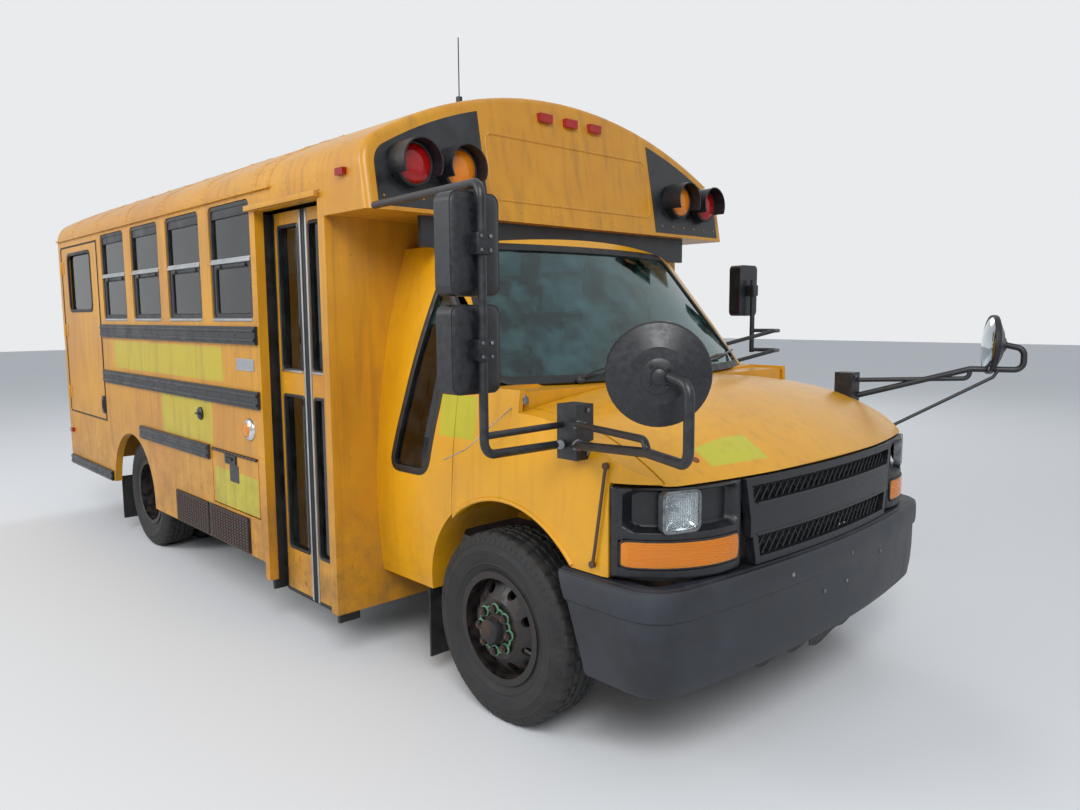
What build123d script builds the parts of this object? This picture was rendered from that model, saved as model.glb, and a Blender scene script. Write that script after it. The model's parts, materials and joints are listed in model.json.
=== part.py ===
"""Short school bus on a cutaway van chassis, in millimetres.

X runs forward, Y to the left and Z up. The origin is on the ground, under the middle of the
overall length, so every station is measured from the front axle. A side is 1 on the left and
-1 on the right.
"""
from build123d import *
from math import cos, radians, sin, sqrt
import os

# Length: everything is placed from the front axle
wheelbase = 3531.0
front_reach = 1130.0  # front axle to the foremost point, the crossover mirrors' arms
rear_reach = 1634.0  # rear axle to the rear bumper's face
axle_front = (wheelbase + rear_reach - front_reach) / 2
axle_rear = axle_front - wheelbase

# Bus body
body_half = 1190.0
body_wall = 45.0
bulkhead_thickness = 30.0
bulkhead_face = axle_front - 821.0
wall_front = bulkhead_face - bulkhead_thickness
body_rear = axle_rear - 1524.0
skirt_bottom = 342.0
tail_bottom = 400.0
corner_bottom = 255.0
wall_top = 2150.0
roof_top = 2580.0
crown_radius = 2250.0
shoulder_radius = 150.0
floor_top = 865.0
floor_thickness = 55.0
gap = 8.0  # round each door
rail_depth = 16.0  # of the rub rails
seat_play = 2.0  # between pieces that are bolted side by side

# Front cap, which leans back over the windscreen
cap_rear = axle_front - 1303.0
cap_side_bottom = 2110.0
cap_bottom = 1979.0
cap_front = axle_front - 480.0
cap_lean = 9.8  # degrees
soffit = 25.0
cap_round = 30.0

# Side windows
window_first = axle_front - 1544.0  # front edge of the right side's first window
window_pitch = 635.0
window_width = 500.0
window_bottom = 1540.0
window_top = 2128.0
window_corner = 35.0
sash_height = 1860.0
glass_thickness = 6.0
windows_on_side = {-1: 4, 1: 5}

# Entrance door
entry_rear = axle_front - 1487.0
entry_front = axle_front - 877.0
entry_top = 2058.0
entry_recess = 90.0
leaf_thickness = 35.0
leaf_bottom = 200.0
step_depth = 180.0
step_sheet = 20.0

# Lift door, battery door and emergency door
lift_front = axle_front - 4038.0
lift_width = 950.0
lift_bottom = 824.0
lift_top = 2105.0
battery_front = axle_front - 1560.0
battery_width = 590.0
battery_bottom = 549.0
battery_top = 878.0 - 20.0
exit_width = 760.0
exit_bottom = 880.0
exit_top = 2090.0

# Wheels
tyre_diameter = 744.0
tyre_width = 225.0
rim_radius = 203.0
rim_half = 98.0
flange_height = 17.0
track_front = 1748.0
dual_middle = 862.0  # from the bus's middle to the middle of a pair
dual_spacing = 265.0
hub_height = tyre_diameter / 2
lug_circle = 165.1
lug_count = 8
arch_rear = 413.0

# Cab of the cutaway van
cab_half = 995.0
cab_bottom = 415.0
cab_floor = 690.0
cab_pan = 25.0
cab_top = 1915.0
belt_height = 1290.0
cab_wall = 35.0
cowl_x = axle_front + 70.0
cowl_sweep = 190.0  # how far the windscreen's foot bows forward
firewall_x = axle_front - 60.0
nose_x = axle_front + 815.0
sheet = 22.0
arch_front = 470.0
arch_x = axle_front + 40.0
arch_z = 400.0
seam_x = axle_front - 271.0  # between the cab side and the fender

# Bumpers
bumper_front = axle_front + 880.0
bumper_top = 667.0
bumper_bottom = 336.0
bumper_wall = 25.0
rear_bumper_depth = 90.0

# Mirrors
mirror_reach = 1385.0
tube_diameter = 28.0
head_width = 185.0
head_depth = 70.0
crossover_disc = 270.0

# Stop arm
stop_across = 455.0
stop_z = 1312.0
stop_hinge = wall_front - 60.0

# Chassis
rail_half = 430.0
rail_height = 180.0
rail_top = 640.0
rail_width = 70.0
rail_wall = 8.0


def block(x0, x1, y0, y1, z0, z1):
    """Plain block between two stations on each axis."""
    middle = Pos((x0 + x1) / 2, (y0 + y1) / 2, (z0 + z1) / 2)
    return middle * Box(abs(x1 - x0), abs(y1 - y0), abs(z1 - z0), mode=Mode.PRIVATE)


def tube(points, bend, diameter):
    """Bent tube: straight runs joined by arcs of one bend radius."""
    with BuildPart() as bent:
        with BuildLine() as route:
            if bend:
                FilletPolyline(*points, radius=bend)
            else:
                Line(*points)
        with BuildSketch(Plane(origin=route.line @ 0, z_dir=route.line % 0)):
            Circle(diameter / 2)
        sweep()
    return bent.part


def crown(base, inset=0.0):
    """Face across the bus: flat base, upright sides, round shoulders and a crowned top."""
    half, top = body_half - inset, roof_top - inset
    radius, shoulder = crown_radius - inset, shoulder_radius - inset
    centre = top - radius
    rise = sqrt((radius - shoulder) ** 2 - (half - shoulder) ** 2)
    grow = radius / (radius - shoulder)
    spring = centre + rise
    meet = (half - shoulder) * grow, centre + rise * grow
    with BuildSketch() as face:
        with BuildLine():
            Polyline((-half, spring), (-half, base), (half, base), (half, spring))
            TangentArc((half, spring), meet, tangent=(0, 1))
            ThreePointArc(meet, (0, top), (-meet[0], meet[1]))
            TangentArc((-half, spring), (-meet[0], meet[1]), tangent=(0, 1))
        make_face()
    return face.sketch


def prism(face, x0, x1):
    """Prism between two stations over a face drawn in Y and Z."""
    return extrude(Plane.YZ.offset(x0) * face, amount=x1 - x0, dir=(1, 0, 0), mode=Mode.PRIVATE)


def through_wall(x_front, width, bottom, top, side, corner=0.0):
    """Cutter for an opening in one side wall."""
    with BuildPart() as cutter:
        with BuildSketch(Plane.XZ.offset(-side * (body_half - 2 * body_wall))):
            with Locations((x_front - width / 2, (bottom + top) / 2)):
                if corner:
                    RectangleRounded(width, top - bottom, corner)
                else:
                    Rectangle(width, top - bottom)
        extrude(amount=-side * 3 * body_wall)
    return cutter.part


def window_fronts(side):
    """Front edge of each window of one side."""
    return [window_first - index * window_pitch for index in range(windows_on_side[side])]


def side_wall(side):
    """One wall with its skirt, wheel arch, windows and, on the right, its three doorways."""
    with BuildPart() as wall:
        with BuildSketch(Plane.XZ.offset(-side * (body_half - body_wall))):
            with BuildLine():
                Polyline(
                    (body_rear, wall_top),
                    (body_rear, tail_bottom),
                    (axle_rear, tail_bottom),
                    (axle_rear, skirt_bottom),
                    (wall_front, skirt_bottom),
                    (wall_front, cap_side_bottom),
                    (cap_rear, cap_side_bottom),
                    (cap_rear, wall_top),
                    close=True,
                )
            make_face()
            if side < 0:
                corner_post = entry_rear - body_wall, wall_front, corner_bottom, skirt_bottom
                with Locations(((corner_post[0] + corner_post[1]) / 2, (corner_bottom + skirt_bottom) / 2)):
                    Rectangle(corner_post[1] - corner_post[0], skirt_bottom - corner_bottom)
            with Locations((axle_rear, hub_height)):
                Circle(arch_rear, mode=Mode.SUBTRACT)
            with Locations((axle_rear, hub_height / 2)):
                Rectangle(2 * arch_rear, hub_height, mode=Mode.SUBTRACT)
        extrude(amount=-side * body_wall)
        for x_front in window_fronts(side):
            opening = through_wall(x_front, window_width, window_bottom, window_top, side, window_corner)
            add(opening, mode=Mode.SUBTRACT)
        if side < 0:
            # x_front, width, bottom, top of the entrance, the lift door and the battery door
            doorways = (
                (entry_front, entry_front - entry_rear, 0, entry_top),
                (lift_front, lift_width, lift_bottom, lift_top),
                (battery_front, battery_width, battery_bottom, battery_top),
            )
            for x_front, width, bottom, top in doorways:
                add(through_wall(x_front, width, bottom, top, side), mode=Mode.SUBTRACT)
        if side > 0:
            add(block(stop_hinge - 60, stop_hinge + 20, body_half, body_half + rail_depth + 20, 1222, 1402))
    return wall.part


side_wall_right = side_wall(-1)
side_wall_left = side_wall(1)

# Rear wall with the emergency doorway and a window on each side of it
exit_half = exit_width / 2
rear_window_width = 420.0
rear_window_height = 520.0
rear_window_z = 1790.0
rear_window_y = (exit_half + body_half - body_wall) / 2 - 10
with BuildPart() as rear_wall:
    add(prism(crown(tail_bottom, body_wall), body_rear, body_rear + body_wall))
    exit_hole = block(body_rear - 1, body_rear + body_wall + 1, -exit_half, exit_half, exit_bottom, exit_top)
    add(exit_hole, mode=Mode.SUBTRACT)
    with BuildSketch(Plane.YZ.offset(body_rear)):
        with Locations((-rear_window_y, rear_window_z), (rear_window_y, rear_window_z)):
            RectangleRounded(rear_window_width, rear_window_height, window_corner)
    extrude(amount=body_wall, mode=Mode.SUBTRACT)

# Roof
with BuildPart() as roof:
    add(prism(crown(wall_top), body_rear, cap_rear))
    add(prism(crown(wall_top - 1, body_wall), body_rear, cap_rear), mode=Mode.SUBTRACT)

# Front cap: a moulded shell with a leaning face, closed below where it overhangs the cab
lean = Plane(origin=(cap_front, 0, cap_bottom), z_dir=(cos(radians(cap_lean)), 0, sin(radians(cap_lean))))
with BuildPart() as cap_form:
    add(prism(crown(cap_bottom), wall_front, cap_front))
    split(bisect_by=lean, keep=Keep.BOTTOM)
    leaning_face = cap_form.faces().sort_by(Axis.X)[-1]
    fillet(leaning_face.edges().filter_by(lambda edge: edge.center().Z > cap_bottom + 1), radius=cap_round)
with BuildPart() as cap_hollow:
    add(prism(crown(cap_bottom + soffit, body_wall), wall_front, cap_front))
    split(bisect_by=lean.offset(-body_wall), keep=Keep.BOTTOM)
with BuildPart() as front_cap:
    add(cap_form.part)
    add(prism(crown(cap_side_bottom), cap_rear, wall_front))
    add(prism(crown(cap_side_bottom - 1, body_wall), cap_rear, wall_front), mode=Mode.SUBTRACT)
    add(cap_hollow.part, mode=Mode.SUBTRACT)

# Bulkhead, open to the cab above its floor and notched round the chassis below
cab_y = 975.0  # half width at the bulge
def cab_outline(inset=0.0, bottom=cab_bottom):
    """Face across the cab: bowed sides that lean in above the belt, under a crowned roof."""
    with BuildSketch() as face:
        with BuildLine():
            for side in (-1, 1):
                ThreePointArc(
                    (side * (949 - inset), bottom),
                    (side * (cab_y - inset), 760),
                    (side * (942 - inset), 1192),
                )
                ThreePointArc(
                    (side * (942 - inset), 1192),
                    (side * (882 - inset), 1540),
                    (side * (790 - inset), cab_top - 55 - inset),
                )
            Line((949 - inset, bottom), (inset - 949, bottom))
            ThreePointArc(
                (790 - inset, cab_top - 55 - inset), (0, cab_top - inset), (inset - 790, cab_top - 55 - inset)
            )
        make_face()
    return face.sketch


chassis_half = 620.0
with BuildPart() as bulkhead:
    add(block(wall_front, bulkhead_face, -body_half, body_half, corner_bottom, cap_bottom))
    add(prism(cab_outline(cab_wall, cab_floor), wall_front - 1, bulkhead_face + 1), mode=Mode.SUBTRACT)
    add(block(wall_front - 1, bulkhead_face + 1, -chassis_half, chassis_half, 0, cab_floor - cab_pan), mode=Mode.SUBTRACT)

# Floor on its cross bearers and its two sills, and the entrance's steps
well_inner = body_half - entry_recess - leaf_thickness - 10 - 2 * step_depth
floor_bottom = floor_top - floor_thickness
rail_rear = body_rear + body_wall + seat_play
bearer_stations = (
    body_rear + 200, axle_rear - 620, axle_rear + 620, axle_front - 2350, axle_front - 1750,
)
with BuildPart() as floor:
    add(
        block(
            body_rear + body_wall, wall_front, -body_half + body_wall, body_half - body_wall,
            floor_bottom, floor_top,
        )
    )
    for x in bearer_stations:
        add(block(x - 25, x + 25, -body_half + 100, body_half - 100, floor_bottom - 80, floor_bottom))
    for side in (-1, 1):
        sill = side * (rail_half - 10), side * (rail_half - 60)
        add(block(rail_rear, wall_front - 30, *sill, rail_top, floor_bottom))
    add(
        block(entry_rear - 30, entry_front + 1, -body_half, -well_inner, 0, floor_top + 1),
        mode=Mode.SUBTRACT,
    )

step_outer = body_half - entry_recess - leaf_thickness - 10
step_rise = (floor_top - 275) / 2
with BuildPart() as entrance_steps:
    with BuildSketch(Plane.YZ.offset(entry_rear - 28)):
        with BuildLine():
            low, middle = 275, 275 + step_rise
            Polyline(
                (-step_outer, low - step_sheet),
                (-step_outer, low),
                (-step_outer + step_depth - step_sheet, low),
                (-step_outer + step_depth - step_sheet, middle),
                (-well_inner - step_sheet, middle),
                (-well_inner - step_sheet, floor_top),
                (-well_inner, floor_top),
                (-well_inner, middle - step_sheet),
                (-step_outer + step_depth, middle - step_sheet),
                (-step_outer + step_depth, low - step_sheet),
                close=True,
            )
        make_face()
    extrude(amount=entry_front - entry_rear + 26)


def leaf(x0, x1, y0, y1, bottom, top, panes):
    """Door leaf between two stations, with its window openings. panes holds bottom and top pairs."""
    with BuildPart() as door:
        add(block(x0, x1, y0, y1, bottom, top))
        for low, high in panes:
            with BuildSketch(Plane.XZ.offset(-(y0 + y1) / 2 - leaf_thickness)):
                with Locations(((x0 + x1) / 2, (low + high) / 2)):
                    RectangleRounded(x1 - x0 - 2 * stile, high - low, pane_corner)
            extrude(amount=2 * leaf_thickness, mode=Mode.SUBTRACT)
    return door.part


def pane(x0, x1, y, bottom, top):
    """Pane of glass that fills a leaf's opening."""
    with BuildPart() as glass:
        with BuildSketch(Plane.XZ.offset(-y - glass_thickness / 2)):
            with Locations(((x0 + x1) / 2, (bottom + top) / 2)):
                RectangleRounded(x1 - x0, top - bottom, pane_corner)
        extrude(amount=glass_thickness)
    return glass.part


# Entrance door: two leaves with a tall upper and a lower window each, hinged on the outer edges
stile = 45.0
pane_corner = 20.0
entry_panes = ((430.0, 1185.0), (1310.0, 1985.0))
leaf_y = (-body_half + entry_recess, -body_half + entry_recess + leaf_thickness)
entry_middle = (entry_rear + entry_front) / 2
leaf_top = entry_top - gap
leaf_spans = {"rear": (entry_rear + gap, entry_middle - gap / 2), "front": (entry_middle + gap / 2, entry_front - gap)}
entrance_leaves = {}
entrance_glass = {}
for where, (x0, x1) in leaf_spans.items():
    entrance_leaves[where] = leaf(x0, x1, *leaf_y, leaf_bottom, leaf_top, entry_panes)
    with BuildPart() as glass:
        for low, high in entry_panes:
            add(pane(x0 + stile, x1 - stile, sum(leaf_y) / 2, low, high))
    entrance_glass[where] = glass.part

# Lift door and battery door, both flush with the right wall
wall_y = (-body_half, -body_half + body_wall)
lift_x = (lift_front - lift_width + gap, lift_front - gap)
lift_pane = (1615.0, 2040.0)
with BuildPart() as lift_door:
    add(block(*lift_x, *wall_y, lift_bottom + gap, lift_top - gap))
    with BuildSketch(Plane.XZ.offset(body_half + 1)):
        with Locations((sum(lift_x) / 2, sum(lift_pane) / 2)):
            RectangleRounded(lift_width - 360, lift_pane[1] - lift_pane[0], window_corner)
    extrude(amount=-body_wall - 2, mode=Mode.SUBTRACT)
with BuildPart() as lift_glass:
    with BuildSketch(Plane.XZ.offset(body_half - body_wall / 2)):
        with Locations((sum(lift_x) / 2, sum(lift_pane) / 2)):
            RectangleRounded(lift_width - 360, lift_pane[1] - lift_pane[0], window_corner)
    extrude(amount=glass_thickness)

with BuildPart() as battery_door:
    add(
        block(
            battery_front - battery_width + gap, battery_front - gap, -body_half, -body_half + 20,
            battery_bottom + gap, battery_top - gap,
        )
    )

# Emergency door in the rear wall
exit_panes = ((1020.0, 1420.0), (1530.0, 2030.0))
exit_y = exit_half - gap
with BuildPart() as emergency_door:
    add(block(body_rear, body_rear + body_wall, -exit_y, exit_y, exit_bottom + gap, exit_top - gap))
    for low, high in exit_panes:
        with BuildSketch(Plane.YZ.offset(body_rear)):
            with Locations((0, (low + high) / 2)):
                RectangleRounded(2 * exit_y - 180, high - low, window_corner)
        extrude(amount=body_wall, mode=Mode.SUBTRACT)
with BuildPart() as emergency_glass:
    for low, high in exit_panes:
        with BuildSketch(Plane.YZ.offset(body_rear + body_wall / 2 - glass_thickness / 2)):
            with Locations((0, (low + high) / 2)):
                RectangleRounded(2 * exit_y - 180, high - low, window_corner)
        extrude(amount=glass_thickness)

# Window glass of both sides and of the rear wall
with BuildPart() as body_glass:
    for side in (-1, 1):
        for x_front in window_fronts(side):
            with BuildSketch(Plane.XZ.offset(-side * (body_half - body_wall / 2) - glass_thickness / 2)):
                with Locations((x_front - window_width / 2, (window_bottom + window_top) / 2)):
                    RectangleRounded(window_width, window_top - window_bottom, window_corner)
            extrude(amount=glass_thickness)
    with BuildSketch(Plane.YZ.offset(body_rear + body_wall / 2 - glass_thickness / 2)):
        with Locations((-rear_window_y, rear_window_z), (rear_window_y, rear_window_z)):
            RectangleRounded(rear_window_width, rear_window_height, window_corner)
    extrude(amount=glass_thickness)

# Rub rails: x_rear, x_front, bottom, top of each, by side
rub_rail_table = (
    (-1, lift_front + 20, entry_rear - 20, 1427, 1516),
    (-1, lift_front + 20, entry_rear - 20, 1110, 1197),
    (-1, axle_rear + arch_rear - 180, battery_front - battery_width - 20, 786, 865),
    (-1, body_rear + 30, axle_rear - arch_rear - 20, 402, 472),
    (1, body_rear + 10, stop_hinge - 550, 1427, 1516),
    (1, body_rear + 10, wall_front - 10, 1110, 1197),
    (1, axle_rear + arch_rear + 20, wall_front - 10, 786, 865),
    (1, body_rear + 30, axle_rear - arch_rear - 20, 402, 472),
)
with BuildPart() as rub_rails:
    for side, x_rear, x_front, low, high in rub_rail_table:
        add(block(x_rear, x_front, side * body_half, side * (body_half + rail_depth), low, high))

# Louvred panels in the right skirt, ahead of the rear wheels
louvre_x = (axle_front - 2716, axle_front - 1690)
louvre_z = (skirt_bottom + 6, 535)
with BuildPart() as skirt_louvres:
    add(block(*louvre_x, -body_half - 6, -body_half, *louvre_z))
    with Locations((sum(louvre_x) / 2, -body_half - 6, sum(louvre_z) / 2)):
        with GridLocations(170, 0, 6, 1):
            with GridLocations(0, 0, 1, 1):
                Box(120, 8, 10)

# Cab form: the side outline, cut by the windscreen's swept surface above the belt
screen_slope = 0.829  # how far the windscreen leans back for each millimetre of height
screen_radius = 1900.0  # in plan


def screen_form(inset=0.0):
    """Everything behind the windscreen's outer surface, less an inset."""
    front = cowl_x - inset + belt_height * screen_slope
    with BuildPart() as form:
        with BuildSketch():
            with Locations((front - screen_radius, 0)):
                Circle(screen_radius)
        extrude(amount=2100 * sqrt(1 + screen_slope**2), dir=(-screen_slope, 0, 1))
    return form.part


def wheelhouse(radius, side):
    """Cylinder over one front wheel, out to the fender."""
    house = Cylinder(radius, 500, rotation=(90, 0, 0), mode=Mode.PRIVATE)
    return Pos(arch_x, side * (house_inner + 250), arch_z) * house


house_inner = 540.0
house_radius = arch_front + 15
screen_half_low = 845.0
screen_half_high = 690.0
screen_low = belt_height + 15
screen_high = 1865.0
cowl_bottom = belt_height - 90
hood_rear = cowl_x + 25


def screen_outline():
    """Windscreen opening seen from the front."""
    with BuildSketch() as face:
        with BuildLine():
            Polyline(
                (-screen_half_low, screen_low),
                (screen_half_low, screen_low),
                (screen_half_high, screen_high),
                (-screen_half_high, screen_high),
                close=True,
            )
        make_face()
        fillet(face.vertices(), 60)
    return face.sketch


with BuildPart() as cab_outer:
    add(prism(cab_outline(), bulkhead_face, seam_x))
    add(prism(cab_outline(), seam_x, cowl_x) & block(seam_x, cowl_x, -990, 990, belt_height, 2000))
    add(screen_form(), mode=Mode.INTERSECT)
    under = block(bulkhead_face, seam_x, -830, 830, 0, cab_floor - cab_pan)
    add(under, mode=Mode.SUBTRACT)
with BuildPart() as cab_inner:
    add(prism(cab_outline(cab_wall, cab_floor), bulkhead_face, seam_x))
    above = block(seam_x, cowl_x, -990, 990, belt_height + cab_wall, 2000)
    add(prism(cab_outline(cab_wall), seam_x, cowl_x) & above)
    add(screen_form(cab_wall), mode=Mode.INTERSECT)
    for side in (-1, 1):
        add(wheelhouse(house_radius + sheet, side), mode=Mode.SUBTRACT)
with BuildPart() as cab_shell:
    add(cab_outer.part)
    add(block(seam_x, firewall_x, -900, 900, 900, belt_height))
    add(block(firewall_x, hood_rear - 10, -900, 900, cowl_bottom, belt_height - 10))
    add(cab_inner.part, mode=Mode.SUBTRACT)
    add(block(seam_x - 1, firewall_x - cab_wall, -865, 865, 935, belt_height + 40), mode=Mode.SUBTRACT)
    for side in (-1, 1):
        add(wheelhouse(house_radius, side), mode=Mode.SUBTRACT)
    add(prism(screen_outline(), seam_x - 600, seam_x + 600), mode=Mode.SUBTRACT)

# Windscreen glass fills its opening
with BuildPart() as windscreen:
    add(prism(screen_outline(), seam_x - 600, seam_x + 600))
    add(screen_form(8), mode=Mode.INTERSECT)
    add(screen_form(8 + glass_thickness), mode=Mode.SUBTRACT)

# Side openings of the cab: a fixed window on the right, a door with its window on the left
door_wall = 40.0
door_rear = bulkhead_face + 64.0
# x from the front axle and z of each corner
quarter_corners = ((-486, 1748), (-323, 1555), (-446, 912), (-704, 909))
door_corners = (
    (-776, 455), (-776, 1830), (-600, 1830), (-330, 1440), (-285, 1300), (-285, 1060), (-450, 790), (-500, 455),
)
door_window_corners = ((-725, 1755), (-575, 1755), (-380, 1440), (-350, 1240), (-725, 1240))


def cab_side(corners, side, grow=0.0, rounding=45.0, inset=0.0, thickness=door_wall):
    """Piece of the cab's bowed side wall behind an outline drawn in X and Z."""
    with BuildPart() as piece:
        with BuildSketch(Plane.XZ.offset(-side * 400)):
            with BuildLine():
                Polyline(*[(axle_front + x, z) for x, z in corners], close=True)
            outline = make_face()
            fillet(outline.vertices(), rounding)
            if grow:
                offset(amount=grow, mode=Mode.REPLACE)
        extrude(amount=-side * 700)
        reach = bulkhead_face, cowl_x + 200
        add(prism(cab_outline(inset, cab_bottom - 5), *reach), mode=Mode.INTERSECT)
        add(prism(cab_outline(inset + thickness, cab_bottom - 10), *reach), mode=Mode.SUBTRACT)
    return piece.part


with BuildPart() as cab_shell_cut:
    add(cab_shell.part)
    add(cab_side(quarter_corners, -1, inset=-20, thickness=120), mode=Mode.SUBTRACT)
    add(cab_side(door_corners, 1, inset=-20, thickness=120), mode=Mode.SUBTRACT)
with BuildPart() as fixed_glass:
    add(body_glass.part)
    add(windscreen.part)
    add(cab_side(quarter_corners, -1, inset=12, thickness=glass_thickness))
with BuildPart() as driver_door:
    add(cab_side(door_corners, 1, grow=-gap))
    add(block(bulkhead_face, door_rear, 0, 1100, 0, 2000), mode=Mode.SUBTRACT)
    add(cab_side(door_window_corners, 1, inset=-20, thickness=120), mode=Mode.SUBTRACT)
driver_glass = cab_side(door_window_corners, 1, inset=16, thickness=glass_thickness)

# Nose form: the cab's side outline, the plan of the front and a crowned top
hood_rear_z = 1290.0
hood_front_z = 1042.0
hood_radius = 1150.0  # side view
hood_crown = 5400.0  # front view
nose_corner = (axle_front + 430, 985.0)
nose_turn = (axle_front + 700, 885.0)
nose_edge = (axle_front + 805, 577.0)
fascia_bottom = 705.0
hood_half = 868.0


def nose_form(inset=0.0):
    """Whole front end as one block: fenders, hood and face."""
    run, fall = nose_x - hood_rear, hood_rear_z - hood_front_z
    chord = sqrt(run**2 + fall**2)
    reach = sqrt(hood_radius**2 - chord**2 / 4)
    pivot = (
        (hood_rear + nose_x) / 2 - reach * fall / chord,
        0,
        (hood_rear_z + hood_front_z) / 2 - reach * run / chord,
    )
    radius = hood_radius - inset
    drop = hood_crown - sqrt(hood_crown**2 - 1000**2)
    back = radians(70)
    with BuildPart() as form:
        with BuildSketch(Plane(origin=pivot, x_dir=(0, 1, 0), z_dir=(cos(back), 0, sin(back)))):
            with BuildLine():
                Polyline((-1000, radius - drop), (-1000, 200), (1000, 200), (1000, radius - drop))
                ThreePointArc((1000, radius - drop), (0, radius), (-1000, radius - drop))
            make_face()
        revolve(axis=Axis(pivot, (0, 1, 0)), revolution_arc=150)
        add(block(seam_x, hood_rear, -1000, 1000, 300, hood_rear_z - inset))
        with BuildSketch(Plane.XY.offset(300)):
            with BuildLine():
                Polyline(
                    (nose_corner[0], nose_corner[1]),
                    (seam_x - 10, nose_corner[1]),
                    (seam_x - 10, -nose_corner[1]),
                    (nose_corner[0], -nose_corner[1]),
                )
                for side in (-1, 1):
                    ThreePointArc(
                        (nose_corner[0], side * nose_corner[1]),
                        (nose_turn[0], side * nose_turn[1]),
                        (nose_edge[0], side * nose_edge[1]),
                    )
                ThreePointArc((nose_edge[0], -nose_edge[1]), (nose_x + 25, 0), nose_edge)
            make_face()
            if inset:
                offset(amount=-inset)
        extrude(amount=1200, mode=Mode.INTERSECT)
        add(prism(cab_outline(inset, 300), seam_x + seat_play, nose_x + 100), mode=Mode.INTERSECT)
    return form.part


nose_outer = nose_form()
nose_inner = nose_form(sheet)
hood_zone = (hood_rear, nose_x + 60, -hood_half, hood_half, hood_front_z - 25, 1500)
with BuildPart() as hood:
    add(nose_outer)
    add(nose_inner, mode=Mode.SUBTRACT)
    add(block(*hood_zone), mode=Mode.INTERSECT)

fascia_x = axle_front + 560
with BuildPart() as fenders:
    add(nose_outer)
    add(nose_inner, mode=Mode.SUBTRACT)
    add(
        block(hood_rear - gap, nose_x + 60, -hood_half - gap, hood_half + gap, 300, 1500), mode=Mode.SUBTRACT
    )
    add(block(seam_x, hood_rear, -900 - seat_play, 900 + seat_play, 200, 1500), mode=Mode.SUBTRACT)
    add(block(fascia_x, nose_x + 60, -1100, 1100, 200, hood_front_z - 20), mode=Mode.SUBTRACT)
    add(block(arch_x + 300, nose_x + 60, -1100, 1100, 200, fascia_bottom), mode=Mode.SUBTRACT)
    add(block(seam_x - 1, arch_x, -1100, 1100, 200, cab_bottom), mode=Mode.SUBTRACT)
    for side in (-1, 1):
        add(wheelhouse(arch_front, side), mode=Mode.SUBTRACT)

# Lamp bezels: black mouldings that follow the nose between the fenders and the grille
bezel_inner = 565.0
bezel_top = hood_front_z - 30
bezel_depth = 45.0
headlamp_size = (200.0, 142.0)
headlamp_z = 936.0
headlamp_y = 790.0
turn_low, turn_high = 745.0, 838.0
with BuildPart() as nose_band:
    add(nose_form())
    add(nose_form(bezel_depth), mode=Mode.SUBTRACT)
    add(block(fascia_x + seat_play, nose_x + 60, -1000, 1000, fascia_bottom, bezel_top), mode=Mode.INTERSECT)


def side_mirrored(piece):
    """The piece and its mirror image across the bus."""
    return piece + mirror(piece, about=Plane.XZ, mode=Mode.PRIVATE)


headlamp_pocket = block(
    axle_front + 500, nose_x + 60, -headlamp_y - headlamp_size[0] / 2, -headlamp_y + headlamp_size[0] / 2,
    headlamp_z - headlamp_size[1] / 2, headlamp_z + headlamp_size[1] / 2,
)
turn_pocket = block(axle_front + 500, nose_x + 60, -1000, -bezel_inner - 30, turn_low, turn_high)
with BuildPart() as lamp_bezels:
    add(nose_band.part)
    add(block(axle_front + 500, nose_x + 60, -bezel_inner, bezel_inner, 600, 1200), mode=Mode.SUBTRACT)
    add(side_mirrored(headlamp_pocket), mode=Mode.SUBTRACT)
    add(side_mirrored(turn_pocket), mode=Mode.SUBTRACT)
with BuildPart() as turn_lamps:
    add(nose_band.part)
    add(side_mirrored(turn_pocket), mode=Mode.INTERSECT)
with BuildPart() as headlamps:
    add(nose_form(15))
    add(nose_form(bezel_depth), mode=Mode.SUBTRACT)
    add(side_mirrored(headlamp_pocket), mode=Mode.INTERSECT)

# Grille: a frame and a cross bar with a mesh of thin slats behind them
grille_low = fascia_bottom
grille_bar = (806.0, 923.0)
grille_frame = 26.0
slat_pitch = 22.0
slat = 6.0
with BuildPart() as grille_body:
    add(nose_form(-12))
    add(nose_form(18), mode=Mode.SUBTRACT)
with BuildPart() as grille:
    with BuildSketch(Plane.YZ.offset(axle_front + 600)):
        with BuildLine():
            half_low, half_high = bezel_inner - 62, bezel_inner - seat_play
            Polyline((-half_low, grille_low), (half_low, grille_low), (half_high, bezel_top - 2),
                     (-half_high, bezel_top - 2), close=True)
        opening = make_face()
        offset(amount=-grille_frame, mode=Mode.SUBTRACT)
    extrude(amount=400)
    add(block(axle_front + 600, nose_x + 80, -bezel_inner + 30, bezel_inner - 30, *grille_bar))
    add(grille_body.part, mode=Mode.INTERSECT)

# Bumpers
with BuildPart() as front_bumper:
    with BuildSketch(Plane.XY.offset(bumper_bottom)):
        with BuildLine():
            Polyline((axle_front + 790, -1005), (axle_front + 350, -1005), (axle_front + 350, 1005),
                     (axle_front + 790, 1005))
            ThreePointArc((axle_front + 790, 1005), (bumper_front, 0), (axle_front + 790, -1005))
        make_face()
    extrude(amount=fascia_bottom - 5 - bumper_bottom)
    fillet(front_bumper.edges().filter_by(Axis.Z).sort_by(Axis.X)[-2:], 150)
    opening_faces = front_bumper.faces().sort_by(Axis.X)[0], front_bumper.faces().sort_by(Axis.Z)[0]
    offset(amount=-bumper_wall, openings=list(opening_faces))
    add(block(axle_front + 300, bumper_front - 170, -870, 870, 600, 800), mode=Mode.SUBTRACT)
    with BuildSketch(Plane.XZ.offset(-1100)):
        with BuildLine():
            Polyline((axle_front + 340, 720), (axle_front + 353, 713), (axle_front + 459, 411),
                     (axle_front + 470, 300), (axle_front + 340, 300), close=True)
        make_face()
    extrude(amount=2200, mode=Mode.SUBTRACT)

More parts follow.
